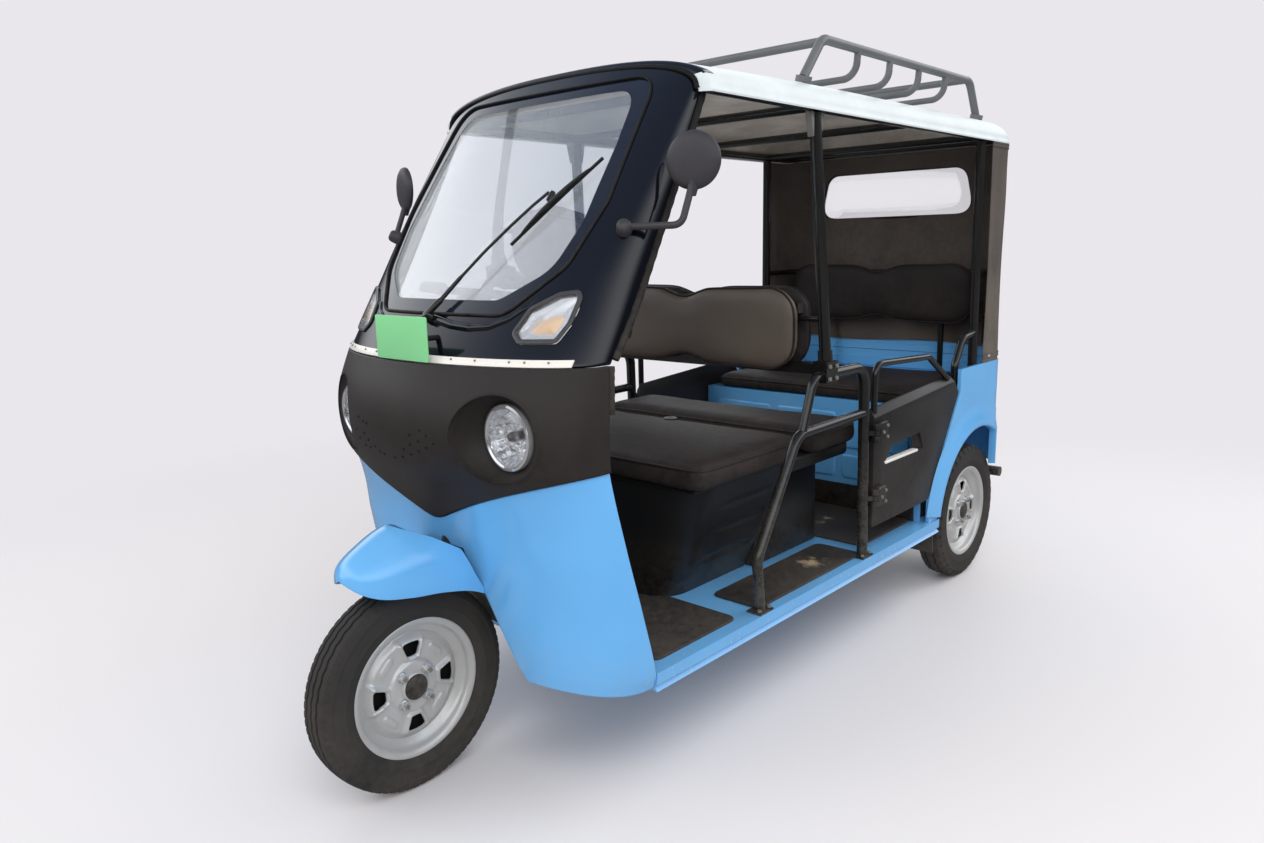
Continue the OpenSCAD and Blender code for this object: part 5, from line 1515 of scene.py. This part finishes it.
def mirrorSide(objs):  # the same piece for the right side
    for o in objs:
        o.data.transform(Matrix.Scale(-1, 4, (0, 1, 0)))
        with editing(o) as bm:
            bmesh.ops.reverse_faces(bm, faces=bm.faces)


def makeDoor(s, side):
    body = "door_left" if side > 0 else "door_right"
    tag = "Left" if side > 0 else "Right"
    low, high = s["y"] - s["thick"] / 2, s["y"] + s["thick"] / 2
    panel = prismY("doorPanel" + tag, s["outline"], low, high)
    (ax, ah), (bx, bh) = s["outline"][3], s["outline"][4]
    slope = (ah - bh) / (ax - bx)

    def edge(x):
        return bh + slope * (x - bx)

    wedge = [[spot(x, low + 6, edge(x) + 0.2), spot(x, high + 8, edge(x) - s["bevel"] * 1.45),
              spot(x, high + 8, edge(x) + 30), spot(x, low + 6, edge(x) + 30)] for x in (ax - 80, bx + 60)]
    cut(panel, prism("bevelCut", wedge))
    cut(panel, prismY("holeCut", s["hole"], low - 10, high + 10))
    addModifier(panel, "BEVEL", width=0.0022, segments=2, limit_method="ANGLE", angle_limit=math.radians(30))
    bake(panel, 30)
    sill = prismY("doorHoleLip" + tag, [(-1418, 279), (-1424, 270), (-1646, 270), (-1646, 279)], low + 3, high
                  + 4)
    addModifier(sill, "BEVEL", width=0.003, segments=3)
    bake(sill, 30)
    ramp = [[spot(x, low + 4, h), spot(-1700, high + 0.5, h), spot(-1700, high - 3, h),
             spot(x - 4, low + 1, h)]
            for x, h in ((-1640, 272), (-1648, 327))]
    slopePlate = prism("doorHoleRamp" + tag, ramp, False)
    rail = pipe("doorRail" + tag, roundPath([spot(x, s["y"], h) for x, h in s["rail"]], 0.045, 10),
                s["railRadius"], 18)
    blocks = []
    for h in s["hinges"]:
        block = blockPiece("hingeBlock", (spot(-1402, high - 1, h - 30),
                                          spot(-1352, s["hingeY"] + 9, h + 30)), 0.006, 4)
        blocks.append(block)
        for z0, z1 in ((-27, -10), (10, 27)):
            barrel = lathe("hingeBarrel", [(0.0055, 0), (0.0098, 0), (0.0105, 0.002), (0.0105, 0.015),
                                           (0.0098, 0.017), (0.0055, 0.017)],
                           spot(s["hingeX"], s["hingeY"], h + z0), (0, 0, 1), 28, True)
            arm = blockPiece("hingeArm", (spot(-1358, s["hingeY"] - 7, h + z0 + 1),
                                          spot(s["hingeX"] - 6, s["hingeY"] + 8, h + z1 - 1)), 0.002, 2)
            blocks += [barrel, arm]
    hinge = joinPieces("doorHinges" + tag, blocks)
    smoothFaces(hinge)
    sharpen(hinge, 35)
    bolts = [(spot(x, s["hingeY"] + 10, h + z), (0, 1, 0)) for h in s["hinges"] for x,
             z in ((-1390, -17), (-1390, 17), (-1366, 0))]
    if side < 0:
        mirrorSide([panel, sill, slopePlate, rail, hinge])
        bolts = [(Vector((p.x, -p.y, p.z)), (0, -1, 0)) for p, _ in bolts]
    settle(panel, body, "door_black", "doorEnamel", body)
    settle(sill, body, None, "whiteStrip")
    settle(slopePlate, body, None, "doorEnamel")
    settle(rail, body, "black_metal", "blackEnamel")
    settle(hinge, body, "black_metal", "blackPlastic")
    layFasteners("hingeBolts" + tag, bolts, body, "satinGrey", 0.006, 0.005, 6, 0.9)


for side in (1, -1):
    makeDoor(doorSet, side)
print("doors made")

# seat box: moulded tub with rounded front corners and pressed creases, a plain box behind it and the seat pan

boxSet = {"low": (-650, 232), "top": (-606, 372), "rear": -1040, "height": 336, "frontRound": 105,
          "rearRound": 20, "rows": 64,
          "creases": [(96, 8), (186, 9), (262, 8)], "creaseDepth": 4.0, "run": (-760, -1010),
          "plainBox": ((-1378, -262, 0.8), (-1034, 262, 302)), "pan": ((-1372, -378, 300), (-1030, 378, 346)),
          "lid": ((-1050, -384, 336.5), (-600, 384, 349.0)), "screws": (-1060, -1200, -1340)}


def boxPlan(s, t):  # plan of the tub at height share t
    x1, w = (a + (b - a) * t for a, b in zip(s["low"], s["top"]))
    half = []
    for x, r, turn in ((x1, s["frontRound"], 0), (s["rear"], s["rearRound"], 90)):
        ox = x - r if turn == 0 else x + r
        arc = [math.radians(turn + 90 * k / 12) for k in range(13)]
        half += [(ox + r * math.cos(a), w - r + r * math.sin(a)) for a in arc]
    (ax, ay), bx = half[12], half[13][0]
    half[13:13] = [(ax + (bx - ax) * k / 60, ay) for k in range(1, 60)]
    return half + [(x, -y) for x, y in reversed(half)]


def makeSeatBox(s):
    rows = []
    for j in range(s["rows"] + 1):
        h = 0.6 + (s["height"] - 0.6) * j / s["rows"]
        row = []
        for x, y in boxPlan(s, j / s["rows"]):
            along = min(1, max(0, (s["run"][0] - x) / 60)) * min(1, max(0, (x - s["run"][1]) / 30))
            push = along * sum(s["creaseDepth"] * math.exp(-((h - at) / wide) ** 2) for at,
                               wide in s["creases"])
            row.append(spot(x, y - math.copysign(push, y), h))
        rows.append(row)
    tub = gridPiece("seatTub", rows, True)
    fillEnds(tub)
    sharpen(tub, 40)
    settle(tub, "chassis", "black_plastic", "tubPlastic", "seat_box")
    for name, edge in (("plainBox", 0.004), ("pan", 0.012), ("lid", 0.005)):
        low, high = s[name]
        settle(blockPiece("seat" + name.capitalize(), (spot(*low), spot(*high)), edge, 3), "chassis",
               "black_plastic", "tubPlastic")
    wide = s["plainBox"][1][1] + 1
    layFasteners("seatBoxScrews", [(spot(x, side * wide, 276), (0, side, 0)) for x in s["screws"]
                                   for side in (-1, 1)],
                 "chassis", "satinGrey", 0.006, 0.004, 16, 0.8)


makeSeatBox(boxSet)

# floor mats

matSet = {"mats": [(-690, -372, -448, 448), (-1330, -776, 300, 456), (-1330, -776, -456, -300),
                   (-1738, -1394, -420, 420)],
          "low": 0.8, "thick": 5.5, "round": 26}


def makeMats(s):
    mats = []
    for x0, x1, y0, y1 in s["mats"]:
        line = roundOutline([(x0, y0), (x1, y0), (x1, y1), (x0, y1)], s["round"], 6)
        rows = [[spot(x, y, h) for x, y in growOutline(line, by)]
                for by, h in ((0, s["low"]), (0, s["low"] + s["thick"] - 1.5), (-1.5, s["low"] + s["thick"]))]
        mat = gridPiece("mat", rows, True)
        fillEnds(mat)
        mats.append(mat)
    obj = joinPieces("floorMats", mats)
    sharpen(obj, 40)
    settle(obj, "chassis", "mat_rubber", "matRubber", "floor_mats")


makeMats(matSet)

# dark border printed round the windscreen, the ledge under it, black marks of painted shade for the cowl
# holes, and strip screws

screenSet = {"clear": [(190, 836), (296, 900), (322, 1000), (318, 1170), (304, 1294)], "clearRound": 82,
             "ledge": [(0, 797), (88, 783), (149, 779), (201, 783), (243, 799), (272, 822), (300, 852)],
             "holes": [(-126, 573), (-103, 566), (-86, 563), (-149, 542), (-110, 537), (-147, 521),
                       (-98, 523), (-103, 504), (-74, 511),
                       (-128, 505), (-44, 496), (33, 501), (68, 511), (98, 522), (125, 532), (75, 534),
                       (48, 521), (106, 545), (132, 559),
                       (114, 569), (82, 557), (150, 544), (-60, 500), (-2, 494)],
             "screws": (143, 209, 292, 325, 372)}


def onWay(table, y, h, off):  # a place over the skin with the way it faces
    a = onSkin(table, y, h, off)
    return a, onSkin(table, y, h, off + 2) - a


def makeScreenDetail(s):
    outline = glassOutline(surroundSet)
    band = skinPatch("screenBorder", upperSkin, growOutline(outline, -1), 26, lambda t: -1.2)
    shellOut(band, 0.001, 0.0, sharp=60)
    clear = roundOutline(s["clear"] + [(-y, h) for y, h in reversed(s["clear"])], s["clearRound"], 10)
    cut(band, prismX("clearCut", clear, -720, 60))
    sharpen(band, 60)
    settle(band, "chassis", "surround_navy", "borderPrint")
    right = roundPath([Vector((0, y, h)) for y, h in s["ledge"]], 60, 6)
    full = [Vector((0, -p.y, p.z)) for p in reversed(right[1:])] + right
    dense = []
    for a, b in zip(full, full[1:]):
        dense += [a + (b - a) * k / 4 for k in range(4)]
    dense.append(full[-1])
    n = len(dense) - 1
    ridge = pipe("screenLedge", [onSkin(upperSkin, p.y, p.z, -2.5) for p in dense],
                 [0.0015 + 0.0095 * math.sin(math.pi * i / n) ** 0.5 for i in range(n + 1)], 16)
    settle(ridge, "chassis", "surround_navy", "navyGloss")
    places = [onWay(lowerSkin, y, h, 6.1) for y, h in s["holes"]]
    # painted shade: flat black marks stand in for the shade inside the cowl's holes
    layFasteners("cowlHoles", places, "chassis", "paintedShadeBlack", 0.0034, 0.001, 3, 0.95)
    places = [onWay(upperSkin, side * y, 714, 4.0) for y in s["screws"] for side in (-1, 1)]
    layFasteners("stripScrews", places, "chassis", "satinGrey", 0.0026, 0.002, 10, 0.7)


makeScreenDetail(screenSet)

edgeSet = {"upper": (716, 1274, 40), "lower": (604, 704, 12), "radius": 0.0085, "inset": 7}


def makeEdgeRubber(s):  # ribbed rubber along the rear edges of the surround and the cowl
    strips = []
    for side in (-1, 1):
        for table, key in ((upperSkin, "upper"), (lowerSkin, "lower")):
            low, high, n = s[key]
            line = [skinPoint(table, low + (high - low) * k / n, side * 90)
                    - Vector((s["inset"] / 1000, 0, 0)) for k in range(n + 1)]
            strips.append(pipe("edgeRubber", line, [s["radius"] * (1 + 0.12 * (k % 2)) for k in range(n + 1)],
                               12))
    settle(joinPieces("edgeRubbers", strips), "chassis", None, "sealRubber")


makeEdgeRubber(edgeSet)

# mirrors, wiper and plate

# profiles are (radius, depth) rows in metres; the neck's columns are station, height, radius
mirrorSet = {"centre": (-437, 520, 1118), "turn": 18,
             "path": [(-396, 520, 986), (-420, 520, 1040), (-433, 520, 1072)],
             "arm": 0.0075, "root": (414, 980),
             "shell": [(0.0001, 0.0150), (0.020, 0.0147), (0.038, 0.0132), (0.050, 0.0105), (0.0575, 0.006),
                       (0.0605, 0.0), (0.0600, -0.005), (0.0570, -0.007), (0.0545, -0.006)],
             "glass": [(0.0001, -0.0056), (0.030, -0.0056), (0.0552, -0.0056)],
             "knob": [(0.0001, 0.026), (0.010, 0.0255), (0.0145, 0.022), (0.0165, 0.014), (0.0175, 0.0),
                      (0.0175, -0.004)],
             "neck": [(-433, 1046, 0.0078), (-434.5, 1056, 0.0098), (-436, 1066, 0.0125),
                      (-437, 1078, 0.013)]}


def makeMirrors(s):
    for side, name in ((1, "Left"), (-1, "Right")):
        cx, cy, ch = s["centre"]
        c = spot(cx, side * cy, ch)
        a = math.radians(s["turn"])
        way = Vector((math.cos(a), side * math.sin(a), 0))
        shell = lathe("mirrorShell" + name, s["shell"], c, way, 64)
        glass = lathe("mirrorGlass" + name, s["glass"], c, way, 64)
        faceAlong(glass, -way)
        thicken(glass, 0.001, 60)
        ry, rh = s["root"]
        root = onSkin(upperSkin, side * ry, rh, 0.6)
        out = (onSkin(upperSkin, side * ry, rh, 3) - root).normalized()
        path = [root + out * 0.012] + [spot(x, side * y, h) for x, y, h in s["path"]]
        arm = pipe("mirrorArm" + name, roundPath(path, 0.026, 10), s["arm"], 16)
        knob = lathe("mirrorKnob" + name, s["knob"], root, out, 32)
        neck = pipe("mirrorNeck" + name, [spot(x, side * cy, h) for x, h, r in s["neck"]],
                    [r for x, h, r in s["neck"]], 20)
        obj = joinPieces("mirror" + name, [shell, arm, knob, neck])
        smoothFaces(obj)
        sharpen(obj, 40)
        settle(obj, "chassis", "mirror_black", "mirrorPlastic", *(["mirrors"] if side > 0 else []))
        settle(glass, "chassis", None, "chrome")


makeMirrors(mirrorSet)

wiperSet = {"pivot": (6, 793), "knuckle": (205, 1060), "low": (155, 951), "top": (305, 1134),
            "hub": [(0.0001, 0.024), (0.007, 0.0235), (0.0095, 0.020), (0.0105, 0.012), (0.013, 0.006),
                    (0.013, -0.002)],
            "clip": [(0.0001, 0.012), (0.006, 0.0115), (0.007, 0.006), (0.007, -0.012), (0.0001, -0.0125)],
            "armAt": (0.12, 0.3, 0.5, 0.7, 0.88), "bridge": (0.12, 0.76)}


def makeWiper(s):
    (py, ph), (ky, kh), (ly, lh), (ty, th) = s["pivot"], s["knuckle"], s["low"], s["top"]

    def onBlade(t, off):
        return onSkin(upperSkin, ly + (ty - ly) * t, lh + (th - lh) * t, off)

    foot = onSkin(upperSkin, py, ph, 12)
    hub = lathe("wiperHub", s["hub"], onSkin(upperSkin, py, ph, 0.6), onWay(upperSkin, py, ph, 0.6)[1], 28)
    line = [foot + Vector((0.004, 0, 0.004))]
    line += [onSkin(upperSkin, py + (ky - py) * t, ph + (kh - ph) * t, 15 + 9 * math.sin(math.pi * t))
             for t in s["armAt"]]
    line = roundPath(line + [onSkin(upperSkin, ky, kh, 13)], 0.05, 4)
    arm = pipe("wiperArm", line, [0.0075 - 0.004 * min(1, i / 9) for i in range(len(line))], 12)
    along = [k / 24 for k in range(25)]
    blade = pipe("wiperBlade", [onBlade(t, 3.2) for t in along], 0.0028, 8)
    spine = pipe("wiperSpine", [onBlade(t, 6.4) for t in along], 0.0026, 8)
    start, reach = s["bridge"]
    arch = [(start + reach * k / 20, k / 20) for k in range(21)]
    bridge = pipe("wiperBridge", [onBlade(t, 6.5 + 8 * math.sin(math.pi * (t - start) / reach) ** 0.7) for t,
                                  k in arch],
                  [0.0022 + 0.0022 * math.sin(math.pi * k) for t, k in arch], 10)
    clip = lathe("wiperClip", s["clip"], onSkin(upperSkin, (ly + ty) / 2 - 14, (lh + th) / 2 + 8, 12),
                 onWay(upperSkin, 230, 1042, 0)[1].cross(Vector((0, 1, 0))), 20)
    obj = joinPieces("wiper", [hub, arm, blade, spine, bridge, clip])
    smoothFaces(obj)
    sharpen(obj, 40)
    settle(obj, "chassis", "black_metal", "blackEnamel", "wiper")


makeWiper(wiperSet)

plateSet = {"x": -48, "half": 98, "low": 708, "high": 806, "thick": 3, "round": 5}


def makePlate(s):
    face = [(-s["half"], s["low"]), (s["half"], s["low"]), (s["half"], s["high"]), (-s["half"], s["high"])]
    plate = prismX("frontPlate", roundOutline(face, s["round"], 6), s["x"], s["x"] + s["thick"])
    addModifier(plate, "BEVEL", width=0.0008, segments=2, limit_method="ANGLE", angle_limit=math.radians(50))
    bake(plate, 30)
    settle(plate, "chassis", "plate_green", "plateGreen", "front_plate")
    legs = []
    for side in (-1, 1):
        y = side * 62
        path = [onSkin(upperSkin, y, 757, -1), spot(s["x"] - 14, y, 757), spot(s["x"] - 2, y, 757)]
        legs.append(pipe("plateStay", roundPath(path, 0.01, 4), 0.006, 14))
    rail = blockPiece("plateRail", (spot(s["x"] - 5, -84, 746), spot(s["x"] - 0.4, 84, 768)), 0.0015, 2)
    obj = joinPieces("plateBracket", legs + [rail])
    settle(obj, "chassis", None, "blackEnamel")


makePlate(plateSet)
print("seat box, screen detail, mirrors, wiper and plate made")

# rear quarters: flared wheel openings, pressings, flaps, clamps and gussets

rearSet = {"wheelX": rearAxle, "wheelH": -50.5, "arch": 322, "joint": -2290, "archFrom": 10.5, "lean": 0.28,
           "edgeRows": (212, 180, 148, 120, 106),
           "flare": [(1, 466), (1, 489.5), (4, 492.5), (12, 492.5), (26, 489), (48, 483), (70, 479.4),
                     (86, 477.8)],
           "panelY": ((-405, -150), (-126, 126), (150, 405)), "panelH": ((112, 200), (222, 350)),
           "panelRound": 22,
           "panelRings": ((0, -1742.2), (-3, -1738.5), (-7, -1737.2), (-14, -1737.0)), "panelFace": -1737.5,
           "mudFlap": {"x": -1806, "high": 2, "drop": 128, "ys": (368, 390, 412, 434, 456, 468)},
           "gusset": {"y": 442, "half": 9, "high": 1274, "low": 1212,
                      "spans": ((-1078, -1060), (-1010, -1028))},
           "wall": {"stations": [-404, -396, -380] + list(range(-360, 361, 40)) + [380, 396, 404],
                    "profile": [(398, -2376), (430, -2376), (433, -2370), (470, -2369), (474, -2374),
                                (500, -2374), (503, -2368), (528, -2368), (532, -2373), (548, -2373)]},
           "restFlap": {"x": -2364, "low": 545, "high": 650, "half": 390, "step": 15},
           "kick": ((-1741.5, -430, 2), (-1736, 430, 92)),
           "tie": ((-1085, 372, 738), (-1076, 458, 738)),
           "clampBolts": {"x": -1082, "y": 486.5, "at": ((-18, 578), (18, 578), (-18, 612), (18, 612))},
           "footBolts": {"xs": (-794, -750, -1340, -1296), "y": 476, "h": 7}}


def makeFlares(s):
    r, joint = s["arch"], s["joint"]
    a0, a1 = s["archFrom"], math.degrees(math.acos((joint - s["wheelX"]) / r))
    flares = []
    for side in (-1, 1):
        rows = []
        for k in range(57):
            a = math.radians(a0 + (a1 - a0) * k / 56)
            nx, nh = math.cos(a), math.sin(a)
            x, h = s["wheelX"] + r * nx, s["wheelH"] + r * nh
            rows.append([spot(max(x + nx * d, joint - s["lean"] * d), side * y, h + nh * d) for d,
                         y in s["flare"]])
        for h in s["edgeRows"]:
            rows.append([spot(joint - s["lean"] * d, side * y, h) for d, y in s["flare"]])
        flares.append(gridPiece("flare", rows))
        faceAlong(flares[-1], (0, side, 0))
    obj = joinPieces("archFlares", flares)
    smoothFaces(obj)
    settle(obj, "chassis", "body_blue", "bluePaint")


def makePressings(s):
    presses = []
    for h0, h1 in s["panelH"]:
        for y0, y1 in s["panelY"]:
            face = roundOutline([(y0, h0), (y1, h0), (y1, h1), (y0, h1)], s["panelRound"], 6)
            rows = [[spot(x, y, h) for y, h in growOutline(face, by)] for by, x in s["panelRings"]]
            p = gridPiece("press", rows, True)
            with editing(p) as bm:
                front = spot(s["panelFace"], 0, 0).x
                top = [e for e in bm.edges if e.is_boundary and e.verts[0].co.x > front]
                bmesh.ops.holes_fill(bm, edges=top, sides=0)
                bmesh.ops.recalc_face_normals(bm, faces=bm.faces)
            faceAlong(p, (1, 0, 0))
            presses.append(p)
    obj = joinPieces("benchPressings", presses)
    smoothFaces(obj)
    sharpen(obj, 50)
    settle(obj, "chassis", "body_blue", "bluePaint")


def makeRearWall(s):  # pressed inner wall, the flap under the bench backrest and the kick panel
    wall, band = s["wall"], s["restFlap"]
    inner = gridPiece("rearWallPressing",
                      [[spot(x, y, h) for y in wall["stations"]] for h, x in wall["profile"]])
    faceAlong(inner, (1, 0, 0))
    thicken(inner, 0.0015)
    settle(inner, "chassis", "body_blue", "bluePaint")
    tall = band["low"] - band["high"]
    rows = [[spot(band["x"] + 4 * math.sin(y / 60) * t, y, band["high"] + (tall + 6 * math.sin(y / 90)) * t)
             for y in range(-band["half"], band["half"] + 1, band["step"])]
            for t in [k / 12 for k in range(13)]]
    flap = gridPiece("restFlap", rows)
    faceAlong(flap, (1, 0, 0))
    thicken(flap, 0.002, 40)
    settle(flap, "chassis", None, "vinylWarm")
    low, high = s["kick"]
    settle(blockPiece("kickPanel", (spot(*low), spot(*high)), 0.002, 2), "chassis", None, "tubPlastic")


def makeFlapsAndGussets(s):
    hang, g = s["mudFlap"], s["gusset"]
    flaps, plates = [], []
    for side in (-1, 1):
        rows = [[spot(hang["x"] - 14 * t * t - 3 * math.sin(3 * t), side * y, hang["high"] - hang["drop"] * t)
                 for y in hang["ys"]] for t in [k / 10 for k in range(11)]]
        flaps.append(thicken(gridPiece("flap", rows), 0.005, 40, 0.0))
        for far, near in g["spans"]:
            tri = [(far, g["high"]), (near, g["high"]), (near, g["low"]),
                   (near + (far - near) * 0.25, g["low"])]
            plate = prismY("gusset", tri, side * g["y"] - g["half"], side * g["y"] + g["half"])
            addModifier(plate, "BEVEL", width=0.0015, segments=2)
            plates.append(bake(plate, 30))
    settle(joinPieces("mudFlaps", flaps), "chassis", None, "matRubber")
    settle(joinPieces("pillarGussets", plates), "chassis", None, "satinGrey")


def makeTies(s):  # backrest ties and the bolts of clamps and feet
    clamp, feet = s["clampBolts"], s["footBolts"]
    ties, bolts = [], []
    for side in (-1, 1):
        ties.append(pipe("tie", [spot(x, side * y, h) for x, y, h in s["tie"]], 0.008, 14))
        bolts += [(spot(clamp["x"] + dx, side * clamp["y"], h), (0, side, 0)) for dx, h in clamp["at"]]
        bolts += [(spot(x, side * feet["y"], feet["h"]), (0, 0, 1)) for x in feet["xs"]]
    settle(joinPieces("backrestTies", ties), "chassis", "black_metal", "blackEnamel")
    layFasteners("frameBolts", bolts, "chassis", "satinGrey", 0.0065, 0.005, 6, 0.9)


makeFlares(rearSet)
makePressings(rearSet)
makeRearWall(rearSet)
makeFlapsAndGussets(rearSet)
makeTies(rearSet)

# catch on the driver's cushion

catchSet = {"profile": [(0.0001, 0.001), (0.010, 0.001), (0.013, 0.0025), (0.017, 0.0035), (0.021, 0.002),
                        (0.022, -0.004)],
            "place": (-1000, -24, 424)}
catch = lathe("seatCatch", catchSet["profile"], spot(*catchSet["place"]), (0, 0, 1), 36)
settle(catch, "chassis", None, "blackPlastic")
print("rear detail made")
